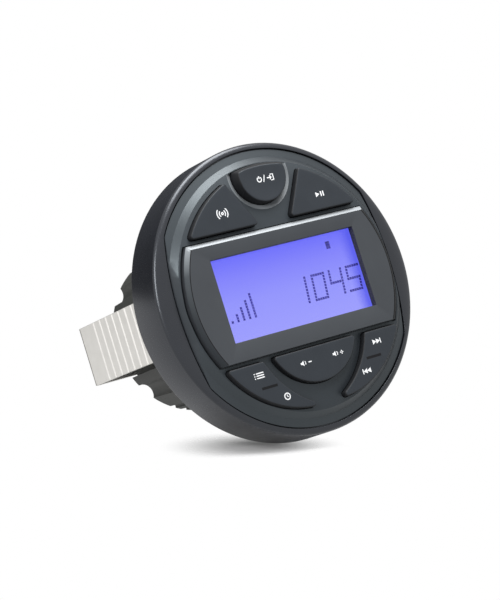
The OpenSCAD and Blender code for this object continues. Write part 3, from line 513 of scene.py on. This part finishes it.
# stud: a screw surface, its radius less a triangle wave of length over pitch minus turn, its ends closed
def buildStuds():
    f, cols = fixing, fixing["studCols"]
    along = np.linspace(f["studFrom"], f["studTo"], f["studRows"])[:, None]
    turn = np.linspace(0, 2 * math.pi, cols, endpoint=False)[None]
    wave = np.abs(2 * ((along / f["pitch"] - turn / (2 * math.pi)) % 1) - 1)
    r = np.minimum(f["studR"], f["studR"] - f["tip"] + f["studTo"] - along) - f["threadDeep"] * wave
    r = np.concatenate([np.zeros((1, cols)), r, np.zeros((1, cols))])
    along = np.concatenate([along[:1], along, along[-1:]]) + 0 * turn
    rod = np.stack([r * np.cos(turn), -along, r * np.sin(turn)], -1).reshape(-1, 3)
    faces = gridFaces(len(r), cols)
    points = np.concatenate([rod - [f["studX"], 0, 0], rod + [f["studX"], 0, 0]])
    addPiece("mount_studs_thread", points, np.concatenate([faces, faces + len(rod)]), fixedBody, platedSteel,
             ("mount_studs",), f["studSharp"])


# nut: the lesser of a hexagon's radius and a 30 degree cone at each face, with a plain bore
def buildNut(name, x):
    f, cols = fixing, fixing["nutCols"]
    turn = np.linspace(0, 2 * math.pi, cols, endpoint=False)
    hexagon = f["nutAcross"] / 2 / np.cos(turn % (math.pi / 3) - math.pi / 6)
    rise = np.linspace(0, f["chamfer"], f["nutSteps"])
    rise = np.concatenate([rise, f["nutHigh"] - rise[::-1]])[:, None]
    cone = f["nutAcross"] * f["nutFace"] + np.minimum(rise, f["nutHigh"] - rise) * math.sqrt(3)
    r = np.minimum(hexagon, cone)
    bore = np.full((1, cols), f["bore"])
    r = np.concatenate([bore, r, bore, bore])
    rise = np.concatenate([rise[:1], rise, rise[-1:], rise[:1]])
    back = -f["nutFrom"] - rise + 0 * turn
    points = np.stack([x + r * np.cos(turn), back, r * np.sin(turn)], -1).reshape(-1, 3)
    addPiece(name + "_hex", points, gridFaces(len(r), cols), name + "_body", platedSteel,
             (name,), f["nutSharp"])


buildStuds()
buildNut("left_nut", -fixing["studX"])
buildNut("right_nut", fixing["studX"])
print("studs and nuts made")

# keys: outlines drawn in by the corner radius, so that they grow back to round corners; x and z in mm
keys = {"stemD": 14.35, "topD": 21.6, "footD": 16.5, "round": 1.0, "rockerRound": 1.0, "rings": 10,
        "softWide": 0.6, "softHigh": 0.5, "softSteps": 7, "sharp": 40.0, "wallFront": 0.85,
        "keyR": 42.2, "sideZ": 22.8, "sideX": 6.6, "sideLean": 29.0,
        "power": (10.6, 40.2, 43.6), "powerTop": (9.75, 39.5, 42.8), "powerTopD": 22.2, "powerLeanD": 20.4,
        "dishDeep": 0.7, "dishR": 60.0, "volR": 18.7, "volZ": -16.2, "volTop": -22.4, "rockTop": -22.7,
        "outCentre": (4.5, -6.0), "outR": 36.3, "inCentre": (-9.0, -12.0), "inR": 32.46,
        "middles": {"side": (19.5, 29.0), "power": (0.0, 36.0), "vol": (0.0, -27.5), "rocker": (21.0, -32.5)}}


# one run of an outline, straight or round a centre, with its outward directions; out is -1 on a hollow edge
def outlineRun(a, b, centre=None, out=1.0, count=26):
    t = np.linspace(0, 1, count)[:, None]
    a, b = np.array(a, float), np.array(b, float)
    if centre is None:
        way = np.array([b[1] - a[1], a[0] - b[0]]) / np.linalg.norm(b - a)
        return a + (b - a) * t, np.repeat(way[None], count, 0)
    centre = np.array(centre, float)
    start, end = (math.atan2(*(p - centre)[::-1]) for p in (a, b))
    angle = start + out * ((out * (end - start)) % (2 * math.pi)) * t
    ray = np.concatenate([np.cos(angle), np.sin(angle)], 1)
    return centre + ray * np.linalg.norm(a - centre), ray * out


# closed outline through corner centres: each run, then a fan of directions about the next centre
def closedOutline(corners, bends, fan=9):
    runs = [outlineRun(corners[i], corners[(i + 1) % len(corners)], *bends[i]) for i in range(len(corners))]
    flats, ways = [], []
    for i, (flat, way) in enumerate(runs):
        start, end = way[-1], runs[(i + 1) % len(runs)][1][0]
        first = math.atan2(start[1], start[0])
        sweep = (math.atan2(end[1], end[0]) - first) % (2 * math.pi)
        angle = first + sweep * np.linspace(0, 1, fan + 2)[1:-1]
        flats += [flat, np.repeat(flat[-1:], fan, 0)]
        ways += [way, np.stack([np.cos(angle), np.sin(angle)], 1)]
    return np.concatenate(flats), np.concatenate(ways)


# where a level meets a circle on its right, and where two circles meet on the right of the line between them
def levelCross(z, centre, r):
    return centre[0] + math.sqrt(r ** 2 - (z - centre[1]) ** 2), z


def circleCross(one, r1, two, r2):
    one, two = np.array(one), np.array(two)
    gap = np.linalg.norm(two - one)
    way = (two - one) / gap
    along = (r1 ** 2 - r2 ** 2 + gap ** 2) / (2 * gap)
    return one + along * way + math.sqrt(r1 ** 2 - along ** 2) * np.array([way[1], -way[0]])


# outline and corner radius: a circle's slice beside a leaning edge, a circle below a level, a low circle cut
# by the outer one, or the sickle between two circles below a level
def keyOutline(kind):
    k, origin, r = keys, (0.0, 0.0), keys["round"]
    if kind == "side":
        lean = math.radians(k["sideLean"])
        out = np.array([-math.cos(lean), math.sin(lean)])
        hold = out @ np.array([k["sideX"], k["sideZ"]]) - r
        z = k["sideZ"] + r
        lowIn = ((hold - out[1] * z) / out[0], z)
        lowOut = levelCross(z, origin, k["keyR"] - r)
        edgeWay = np.array([math.sin(lean), math.cos(lean)])
        top = hold * out + math.sqrt((k["keyR"] - r) ** 2 - hold ** 2) * edgeWay
        return closedOutline([lowIn, lowOut, top], [(), (origin,), ()]), r
    if kind == "vol":
        middle = (0.0, k["volZ"])
        end = np.array(levelCross(k["volTop"] - r, middle, k["volR"] - r))
        return closedOutline([end, end * [-1, 1]], [(), (middle, 1.0, 60)]), r
    r = k["rockerRound"]
    if kind in ("power", "powerTop"):
        lowR, lowZ, outR = k[kind]
        tip = np.abs(circleCross(origin, outR - r, (0.0, lowZ), lowR - r))
        return closedOutline([tip * [-1, 1], tip], [((0.0, lowZ), 1.0, 60), (origin,)]), r
    z = k["rockTop"] - r
    topIn = levelCross(z, k["inCentre"], k["inR"] + r)
    topOut = levelCross(z, k["outCentre"], k["outR"] - r)
    tip = circleCross(k["inCentre"], k["inR"] + r, k["outCentre"], k["outR"] - r)
    bends = [(k["outCentre"], 1.0, 40), (), (k["inCentre"], -1.0, 40)]
    return closedOutline([tip, topOut, topIn], bends), r


# depth of a key's top: plain, or hollowed by a sphere on the power key
def topDepth(kind, flat):
    if kind != "power":
        return np.full(len(flat), keys["topD"])
    lowR, lowZ, outR = keys["power"]
    away = np.hypot(flat[:, 0], flat[:, 1] - (lowZ - lowR + outR) / 2)
    dish = keys["dishR"] - np.sqrt(keys["dishR"] ** 2 - away ** 2) - keys["dishDeep"]
    return keys["powerTopD"] + np.minimum(dish, 0)


# key: wall (leaning in to a second outline on the power key), quarter ellipse over the edge, then rings that
# shrink to a middle point
def buildKey(name, kind, side):
    (base, way), r = keyOutline(kind)
    centre = np.array(keys["middles"][kind])
    wide, high = keys["softWide"], keys["softHigh"]
    edge = base + way * r
    rows = []

    def row(flat, depth):
        rows.append(np.stack([flat[:, 0] * side, np.broadcast_to(depth, len(flat)), flat[:, 1]], 1))

    row(np.broadcast_to(centre, base.shape), keys["stemD"])
    row(base, keys["stemD"])
    row(base, keys["footD"])
    row(edge, keys["footD"])
    if kind == "power":
        row(edge, keys["powerLeanD"])
        (base, way), r = keyOutline("powerTop")
    for a in np.linspace(0, math.pi / 2, keys["softSteps"]):
        flat = base + way * (r - wide + wide * math.cos(a))
        row(flat, topDepth(kind, flat) - high * (1 - math.sin(a)))
    inset = base + way * (r - wide)
    for t in np.linspace(0, 1, keys["rings"])[1:]:
        flat = centre + (inset - centre) * (1 - t)
        row(flat, topDepth(kind, flat))
    piece = addPiece(name + "_cap", np.concatenate(rows), gridFaces(len(rows), len(base)), name + "_body",
                     keyAbs, (name,), keys["sharp"])
    # the keys' sides take painted shade
    shadedSides = facesOf(piece)[1][:, 1] > -keys["wallFront"]
    finishFaces(piece, (shadedSides, keySideShadeAbs))


keyRow = (("left_key", "side", -1), ("right_key", "side", 1), ("power_key", "power", 1),
          ("centre_rocker", "vol", 1), ("left_rocker", "rocker", -1), ("right_rocker", "rocker", 1))
for keyName, keyKind, keySide in keyRow:
    buildKey(keyName, keyKind, keySide)
print("keys made")


# stroke: a ribbon of given width along a path, as a closed four-sided tube between two depths; each depth is
# one number, or one for every point of the path
def stroke(path, width, low, high):
    path = np.array(path, float)
    half = np.broadcast_to(np.array(width, float) / 2, len(path))[:, None]
    way = np.gradient(path, axis=0)
    way /= np.linalg.norm(way, axis=1)[:, None]
    side = np.stack([-way[:, 1], way[:, 0]], 1) * half
    count = len(path)
    ring = [(path + side, low), (path + side, high), (path - side, high), (path - side, low)]
    edges = [np.column_stack([flat[:, 0], np.broadcast_to(d, count), flat[:, 1]]) for flat, d in ring]
    points = np.stack(edges, 1)
    faces = np.concatenate([gridFaces(count, 4), [[0, 1, 2, 3], np.arange(4 * count - 1, 4 * count - 5, -1)]])
    return points.reshape(-1, 3), faces


# strokes as one piece, between two depths or, if a key's kind is given, two heights over its top
def addStrokes(name, strokes, low, high, body, material, top=None):
    points, faces, start = [], [], 0
    for path, width in strokes:
        under = topDepth(top, np.array(path)) if top else 0.0
        p, f = stroke(path, width, under + low, under + high)
        points.append(p)
        faces.append(f + start)
        start += len(p)
    addPiece(name, np.concatenate(points), np.concatenate(faces), body, material, (), 30.0, False)


# points of an arc, from one angle to another
def bow(x, z, r, first, last, count=25):
    a = np.radians(np.linspace(first, last, count))
    return np.stack([x + r * np.cos(a), z + r * np.sin(a)], 1)


# a filled triangle: a stroke that narrows almost to a point
def wedge(x, way=1):
    return [(x, 0), (x + way * 1.75, 0)], (2.0, 0.06)


# signs: strokes about (0, 0) in mm, each a path and its width
thin = 0.42
signs = {"power": [(bow(0, 0, 0.95, 122, 418), thin), ([(0, 0.25), (0, 1.3)], thin)],
         "slash": [([(-0.5, -1.3), (0.5, 1.4)], 0.34)],
         "input": [([(-1.5, 0), (0.35, 0)], thin), ([(-0.35, 0.75), (0.4, 0), (-0.35, -0.75)], thin),
                   ([(0.1, 1.15), (1.3, 1.15), (1.3, -1.15), (0.1, -1.15)], thin)],
         "waves": [(bow(0, 0, 0.4, 0, 360), 0.4), (bow(0, 0, 1.35, -50, 50), thin),
                   (bow(0, 0, 1.35, 130, 230), thin), (bow(0, 0, 2.4, -46, 46), thin),
                   (bow(0, 0, 2.4, 134, 226), thin)],
         "play": [wedge(-2.0), ([(0.55, -1.0), (0.55, 1.0)], 0.55), ([(1.6, -1.0), (1.6, 1.0)], 0.55)],
         "next": [wedge(-2.0), wedge(-0.25), ([(1.75, -1.0), (1.75, 1.0)], 0.45)],
         "back": [wedge(2.0, -1), wedge(0.25, -1), ([(-1.75, -1.0), (-1.75, 1.0)], 0.45)],
         "list": [([(-2.2, z), (-1.75, z)], thin) for z in (0.9, 0, -0.9)]
         + [([(-1.2, z), (2.2, z)], thin) for z in (0.9, 0, -0.9)],
         "clock": [(bow(0, 0, 1.2, 0, 360, 37), thin), ([(0, 0.75), (0, 0), (0.6, -0.3)], 0.34)],
         "horn": [([(-1.35, 0), (-0.75, 0)], 0.8), ([(-0.75, 0), (0.1, 0)], (0.8, 2.1)),
                  (bow(0.0, 0, 0.95, -42, 42), 0.32)],
         "less": [([(-0.75, 0), (0.75, 0)], thin)],
         "more": [([(-0.75, 0), (0.75, 0)], thin), ([(0, -0.75), (0, 0.75)], thin)]}
legends = {"left_key": [("waves", -20.1, 29.1)], "right_key": [("play", 21.1, 28.3)],
           "power_key": [("power", -1.5, 37.8), ("slash", 0.5, 37.8), ("input", 3.1, 37.8)],
           "left_rocker": [("list", -25.2, -27.0), ("clock", -16.8, -36.3)],
           "centre_rocker": [("horn", -6.6, -27.2), ("less", -3.9, -27.2), ("horn", 7.2, -27.0),
                             ("more", 9.9, -27.0)],
           "right_rocker": [("next", 25.5, -26.8), ("back", 17.7, -35.8)]}
ink = {"lift": 0.03, "sink": 0.03, "size": 0.9}
for keyName, marks in legends.items():
    drawn = [(np.array(path, float) * ink["size"] + [x, z], np.array(width) * ink["size"])
             for sign, x, z in marks for path, width in signs[sign]]
    addStrokes(keyName + "_legend", drawn, -ink["sink"], ink["lift"], keyName + "_body", legendInk,
               "power" if keyName == "power_key" else "side")
# short bar of painted shade standing for the dark slot between a side rocker's halves
rockerSlot = {"x": 22.4, "z": -31.6, "long": 6.4, "wide": 0.9, "deep": 0.3, "lift": 0.015}
for keyName, keySide in (("left_rocker", -1), ("right_rocker", 1)):
    slotX, slotHalf = keySide * rockerSlot["x"], rockerSlot["long"] / 2
    slotPath = [(slotX - slotHalf, rockerSlot["z"]), (slotX + slotHalf, rockerSlot["z"])]
    addStrokes(keyName + "_mark", [(slotPath, rockerSlot["wide"])], keys["topD"] - rockerSlot["deep"],
               keys["topD"] + rockerSlot["lift"], keyName + "_body", grooveShade)
print("legends made")


# display panel: closed rows of four runs (top, right end, bottom, left end) at changing size and depth
panel = {"endR": 42.6, "top": 21.0, "bottom": -21.1, "seatD": 17.9, "faceD": 21.6, "bevel": 1.2,
         "topBevel": 1.3, "viewW": 60.4, "viewH": 29.0, "viewD": 19.1, "ledge": 2.0, "round": 0.16,
         "line": 0.34, "run": 48, "sharp": 25.0, "slack": 0.01, "stripUp": 0.2, "stripBelow": 0.1,
         "stripPast": 0.2, "wellPast": 0.05, "wellFront": 0.5}


# straight top and bottom, and ends on a circle about the axis
def panelRow(endR, top, bottom, depth):
    t = np.linspace(0, 1, panel["run"], endpoint=False)
    xt, xb = math.sqrt(endR ** 2 - top ** 2), math.sqrt(endR ** 2 - bottom ** 2)
    at, ab = math.atan2(top, xt), math.atan2(bottom, xb)
    up = np.stack([-xt + 2 * xt * t, np.full_like(t, top)], 1)
    right = endR * np.stack([np.cos(at + (ab - at) * t), np.sin(at + (ab - at) * t)], 1)
    low = np.stack([xb - 2 * xb * t, np.full_like(t, bottom)], 1)
    left = endR * np.stack([-np.cos(ab + (at - ab) * t), np.sin(ab + (at - ab) * t)], 1)
    flat = np.concatenate([up, right, low, left])
    return np.stack([flat[:, 0], np.full(len(flat), depth), flat[:, 1]], 1)


# a rectangle about the axis, with as many points
def windowRow(w, h, depth):
    t = np.linspace(0, 1, panel["run"], endpoint=False)
    x, z = w / 2, h / 2
    up = np.stack([-x + w * t, np.full_like(t, z)], 1)
    right = np.stack([np.full_like(t, x), z - h * t], 1)
    flat = np.concatenate([up, right, -up, -right])
    return np.stack([flat[:, 0], np.full(len(flat), depth), flat[:, 1]], 1)


# panel: from the seat up the side, over the bevels to the face, down the opening and back under it; the
# strip, the line inside the end bevels, the end bevels and the opening's sides have their own finishes
def buildPanel():
    p = panel
    soft, deep = p["round"], p["faceD"] - p["bevel"]
    endR, top, bottom, faceD = p["endR"], p["top"], p["bottom"], p["faceD"]
    inR, inTop = endR - p["bevel"], top - p["topBevel"]
    w, h, ledge = p["viewW"], p["viewH"], p["ledge"]
    rows = [windowRow(w + ledge, h + ledge, p["seatD"]),
            panelRow(endR, top, bottom, p["seatD"]),
            panelRow(endR, top, bottom, deep - soft),
            panelRow(endR - soft, top - soft, bottom, deep + soft),
            panelRow(inR + soft, inTop + soft, bottom, faceD - soft),
            panelRow(inR - soft, inTop - soft, bottom + soft, faceD),
            panelRow(inR - soft - p["line"], inTop - 2 * soft, bottom + 2 * soft, faceD),
            windowRow(w + 3 * soft, h + 3 * soft, faceD),
            windowRow(w + soft, h + soft, faceD - soft * 0.3),
            windowRow(w, h, faceD - soft * 1.3),
            windowRow(w, h, p["viewD"]),
            windowRow(w + ledge, h + ledge, p["viewD"])]
    rows.append(rows[0])
    piece = addPiece("display_panel_body", np.concatenate(rows), gridFaces(len(rows), len(rows[0])),
                     fixedBody, panelAbs, ("display_panel",), p["sharp"])
    mid, out = facesOf(piece)
    x, depth, z = mid[:, 0], -mid[:, 1], mid[:, 2]
    strip = (depth > deep - soft + p["slack"]) & (out[:, 2] > p["stripUp"]) & (z > inTop - p["stripBelow"])
    strip &= np.abs(x) < math.sqrt(endR ** 2 - top ** 2) + p["stripPast"]
    well = (np.abs(x) < w / 2 + p["wellPast"]) & (np.abs(z) < h / 2 + p["wellPast"])
    well &= out[:, 1] > -p["wellFront"]
    away = np.hypot(x, z)
    end = ~strip & ~well & (away > inR - soft) & (depth > deep - soft)
    line = ~strip & ~well & ~end & (away > inR - soft - p["line"]) & (depth > faceD - p["slack"])
    # the line inside the end bevels takes painted shade, the end bevels painted light and shade, the
    # opening's sides a painted reflection of the glow
    finishFaces(piece, (strip, silverTrim), (line, grooveShade), (end, endBevelPaint), (well, wellGlowAbs))


buildPanel()
print("panel made")

# display: dotted seven-segment digits and small signs, printed just in front of the cell
digits = {"depth": 17.84, "thick": 0.03, "high": 8.6, "wide": 5.0, "low": -7.2, "slant": 0.1, "dot": 0.86,
          "pitch": 0.98, "shown": ((0.9, "bc"), (9.0, "abcdef"), (16.6, "bcfg"), (24.2, "acdfg")),
          "bars": 5, "barX": -26.6, "barStep": 2.4, "blockX": 20.0, "blockZ": 9.6, "blockStep": 0.9}


# segment ends in units of the digit's width and height
def digitDots(x0, lit):
    ends = {"a": ((0, 1), (1, 1)), "b": ((1, 1), (1, 0.5)), "c": ((1, 0.5), (1, 0)), "d": ((0, 0), (1, 0)),
            "e": ((0, 0.5), (0, 0)), "f": ((0, 1), (0, 0.5)), "g": ((0, 0.5), (1, 0.5))}
    spots = []
    for part in lit:
        a, b = (np.array(e) * [digits["wide"], digits["high"]] for e in ends[part])
        steps = int(round(np.linalg.norm(b - a) / digits["pitch"]))
        spots.append(a + (b - a) * np.linspace(0, 1, steps + 1)[:, None])
    spots = np.unique(np.round(np.concatenate(spots), 3), axis=0)
    return spots + [x0, digits["low"]] + spots[:, 1:] * [digits["slant"], 0]


# each dot is a short square stroke; rising bars stand at the left, a small block of dots at the upper right
def buildDigits():
    d, half = digits, digits["dot"] / 2
    figures = np.concatenate([digitDots(x, lit) for x, lit in d["shown"]])
    bars = [(d["barX"] + d["barStep"] * i, d["low"] + d["pitch"] * j)
            for i in range(d["bars"]) for j in range(2 * i + 1)]
    dotBlock = [(d["blockX"] + d["blockStep"] * i, d["blockZ"] + d["blockStep"] * j)
                for i in range(2) for j in range(3)]
    spots = np.concatenate([figures, bars, dotBlock])
    dots = [([(x - half, z), (x + half, z)], d["dot"]) for x, z in spots]
    addStrokes("display_signs", dots, d["depth"], d["depth"] + d["thick"], fixedBody, lcdInk)


buildDigits()
print("display signs made")

paint("display_window", windowAcrylic)
paint("lcd_cell", lcdGlow)
inner = {"light_guide": whiteResin, "backlight_leds": whiteResin, "lcd_holder": whiteResin,
         "keypad_mat": matSilicone, "tact_switches": platedSteel, "front_board": boardMask,
         "front_board_screws": platedSteel, "board_header": socketNylon, "main_board": boardMask,
         "tuner_can": platedSteel, "capacitors": sleevePvc, "amplifier_chip": socketNylon,
         "heat_spreader": plainAluminium, "housing_screws": platedSteel, "harness_pins": pinBrass}
for nodeName, finish in inner.items():
    paint(nodeName, finish)
print("inner pieces painted")

# camera: eye point in mm, direction and roll in degrees, lens and sensor in mm, clipping in metres
shot = {"eye": (-347.53, -530.58, -43.51), "azimuth": -32.78, "elevation": -3.958, "roll": -17.21,
        "lens": 108.0, "sensor": 36.0, "clip": (0.01, 20.0)}


def cameraAxes():
    a, e, roll = (math.radians(shot[k]) for k in ("azimuth", "elevation", "roll"))
    ahead = Vector((-math.sin(a) * math.cos(e), math.cos(a) * math.cos(e), -math.sin(e)))
    level = ahead.cross(Vector((0, 0, 1))).normalized()
    over = level.cross(ahead)
    right = level * math.cos(roll) + over * math.sin(roll)
    return right, right.cross(ahead), ahead


right, up, ahead = cameraAxes()
camera = bpy.data.objects.new("camera", bpy.data.cameras.new("camera"))
scene.collection.objects.link(camera)
camera.data.lens = shot["lens"]
camera.data.sensor_width = shot["sensor"]
camera.data.clip_start, camera.data.clip_end = shot["clip"]
turnedTo = Matrix((right, up, -ahead)).transposed().to_4x4()
camera.matrix_world = Matrix.Translation(Vector(shot["eye"]) * mm) @ turnedTo
scene.camera = camera

# floor: the part lies on its bezel's rear edge, so the floor leans with the view; sizes in metres
ground = {"tilt": 6.0, "radius": 0.16, "rings": 12, "turns": 96, "wide": 0.034, "deep": 0.03, "aside": -0.016,
          "touchD": 0.008, "fadeFrom": 0.15, "colour": "#d4d4d4", "glow": 0.06}
floorLean = math.radians(ground["tilt"])
floorUp = (up * math.cos(floorLean) - ahead * math.sin(floorLean)).normalized()
floorBack = floorUp.cross(right).normalized()
floorDrop = -math.hypot(floorUp.x, floorUp.z) * (face["bezelR"] + face["bezelDraft"]) * mm


# paper that gives way to the white air outside an ellipse about the place where the part touches
def paperFloor():
    g = ground
    material, tree = newMaterial("white_paper_floor")
    place = addNode(tree, "ShaderNodeTexCoord").outputs["Object"]
    across = addNode(tree, "ShaderNodeVectorMath", {"operation": "DOT_PRODUCT"}, {0: place})
    across.inputs[1].default_value = right / g["wide"]
    along = addNode(tree, "ShaderNodeVectorMath", {"operation": "DOT_PRODUCT"}, {0: place})
    along.inputs[1].default_value = floorBack / g["deep"]
    spot = addNode(tree, "ShaderNodeCombineXYZ", {},
                   {"X": across.outputs["Value"], "Y": along.outputs["Value"]})
    away = addNode(tree, "ShaderNodeVectorMath", {"operation": "DISTANCE"}, {0: spot.outputs["Vector"]})
    touch = contactPoint()
    away.inputs[1].default_value = ((touch.dot(right) + g["aside"]) / g["wide"],
                                    touch.dot(floorBack) / g["deep"], 0)
    fade = addNode(tree, "ShaderNodeMapRange",
                   {"From Min": g["fadeFrom"], "From Max": 1.0, "interpolation_type": "SMOOTHSTEP"},
                   {"Value": away.outputs["Value"]})
    paper = addNode(tree, "ShaderNodeBsdfPrincipled",
                    {"Base Color": linear(g["colour"]), "Roughness": 1.0, "Specular IOR Level": 0.0,
                     "Emission Color": white, "Emission Strength": g["glow"]})
    gone = addNode(tree, "ShaderNodeBsdfTransparent")
    both = addNode(tree, "ShaderNodeMixShader", {}, {"Fac": fade.outputs["Result"]})
    tree.links.new(paper.outputs["BSDF"], both.inputs[1])
    tree.links.new(gone.outputs["BSDF"], both.inputs[2])
    addNode(tree, "ShaderNodeOutputMaterial", {}, {"Surface": both.outputs["Shader"]})
    return material


# the lowest place of the bezel's wall, about halfway along it
def contactPoint():
    down = Vector((-floorUp.x, 0, -floorUp.z)).normalized()
    return down * face["bezelR"] * mm + Vector((0, -ground["touchD"], 0))


# a disc of rings about the point of the floor below the origin
def buildFloor():
    turn = np.linspace(0, 2 * math.pi, ground["turns"], endpoint=False)
    reach = np.linspace(0, 1, ground["rings"])[:, None] * ground["radius"]
    flat = np.array(right) * (reach * np.cos(turn))[..., None]
    flat = flat + np.array(floorBack) * (reach * np.sin(turn))[..., None]
    points = (flat + np.array(floorUp * floorDrop)).reshape(-1, 3)
    mesh = bpy.data.meshes.new("floor")
    mesh.from_pydata(points, [], [list(f) for f in gridFaces(ground["rings"], ground["turns"])])
    mesh.materials.append(paperFloor())
    floor = bpy.data.objects.new("floor", mesh)
    scene.collection.objects.link(floor)


buildFloor()

# world: white to the eye, to gloss and through glass; a softer grey as fill light
air = {"fill": 0.45}


def buildWorld():
    world = bpy.data.worlds.new("studio")
    scene.world = world
    world.use_nodes = True
    tree = world.node_tree
    tree.nodes.clear()
    ray = addNode(tree, "ShaderNodeLightPath").outputs
    seen = addNode(tree, "ShaderNodeMath", {"operation": "MAXIMUM"},
                   {0: ray["Is Camera Ray"], 1: ray["Is Glossy Ray"]})
    seen = addNode(tree, "ShaderNodeMath", {"operation": "MAXIMUM"},
                   {0: seen.outputs[0], 1: ray["Is Transmission Ray"]})
    level = addNode(tree, "ShaderNodeMapRange", {"To Min": air["fill"], "To Max": 1.0},
                    {"Value": seen.outputs[0]})
    sky = addNode(tree, "ShaderNodeBackground", {"Color": white}, {"Strength": level.outputs["Result"]})
    addNode(tree, "ShaderNodeOutputWorld", {}, {"Surface": sky.outputs["Background"]})


buildWorld()

# lamps: placed along the camera's axes (right, up, towards the camera), sizes in metres, watts
lamps = {"overhead": {"way": (0.06, 0.96, 0.2), "away": 0.7, "size": (0.5, 0.5), "watts": 8.6},
         "leftHigh": {"way": (-0.48, 0.33, 0.8), "away": 0.7, "size": (0.3, 0.3), "watts": 2.8}}
# grey cards that only reflections see, placed in the same way
cards = {"cardBehind": {"way": (-0.63, 0.36, -0.68), "away": 0.5, "size": (0.9, 0.36)},
         "cardLow": {"way": (0.1, -0.38, -0.92), "away": 0.5, "size": (0.45, 0.2)},
         "cardBend": {"way": (-0.3, -0.08, -0.95), "away": 0.5, "size": (0.44, 0.2)}}


# at its distance from the origin along its way, turned to face the origin
def facing(look):
    way = (right * look["way"][0] + up * look["way"][1] - ahead * look["way"][2]).normalized()
    return Matrix.Translation(way * look["away"]) @ way.to_track_quat("Z", "Y").to_matrix().to_4x4()


def addLamp(name, look):
    data = bpy.data.lights.new(name, "AREA")
    data.shape = "RECTANGLE"
    data.size, data.size_y = look["size"]
    data.energy = look["watts"]
    lamp = bpy.data.objects.new(name, data)
    scene.collection.objects.link(lamp)
    lamp.matrix_world = facing(look)


def addCard(name, look):
    w, h = (s / 2 for s in look["size"])
    turned = facing(look)
    mesh = bpy.data.meshes.new(name)
    corners = [turned @ Vector(c) for c in ((-w, -h, 0), (w, -h, 0), (w, h, 0), (-w, h, 0))]
    mesh.from_pydata(corners, [], [(0, 1, 2, 3)])
    mesh.materials.append(cardGrey)
    card = bpy.data.objects.new(name, mesh)
    scene.collection.objects.link(card)
    card.visible_camera = card.visible_diffuse = card.visible_shadow = card.visible_transmission = False


for lampName, lampLook in lamps.items():
    addLamp(lampName, lampLook)
for cardName, cardLook in cards.items():
    addCard(cardName, cardLook)
print("camera, floor, lamps and cards placed")
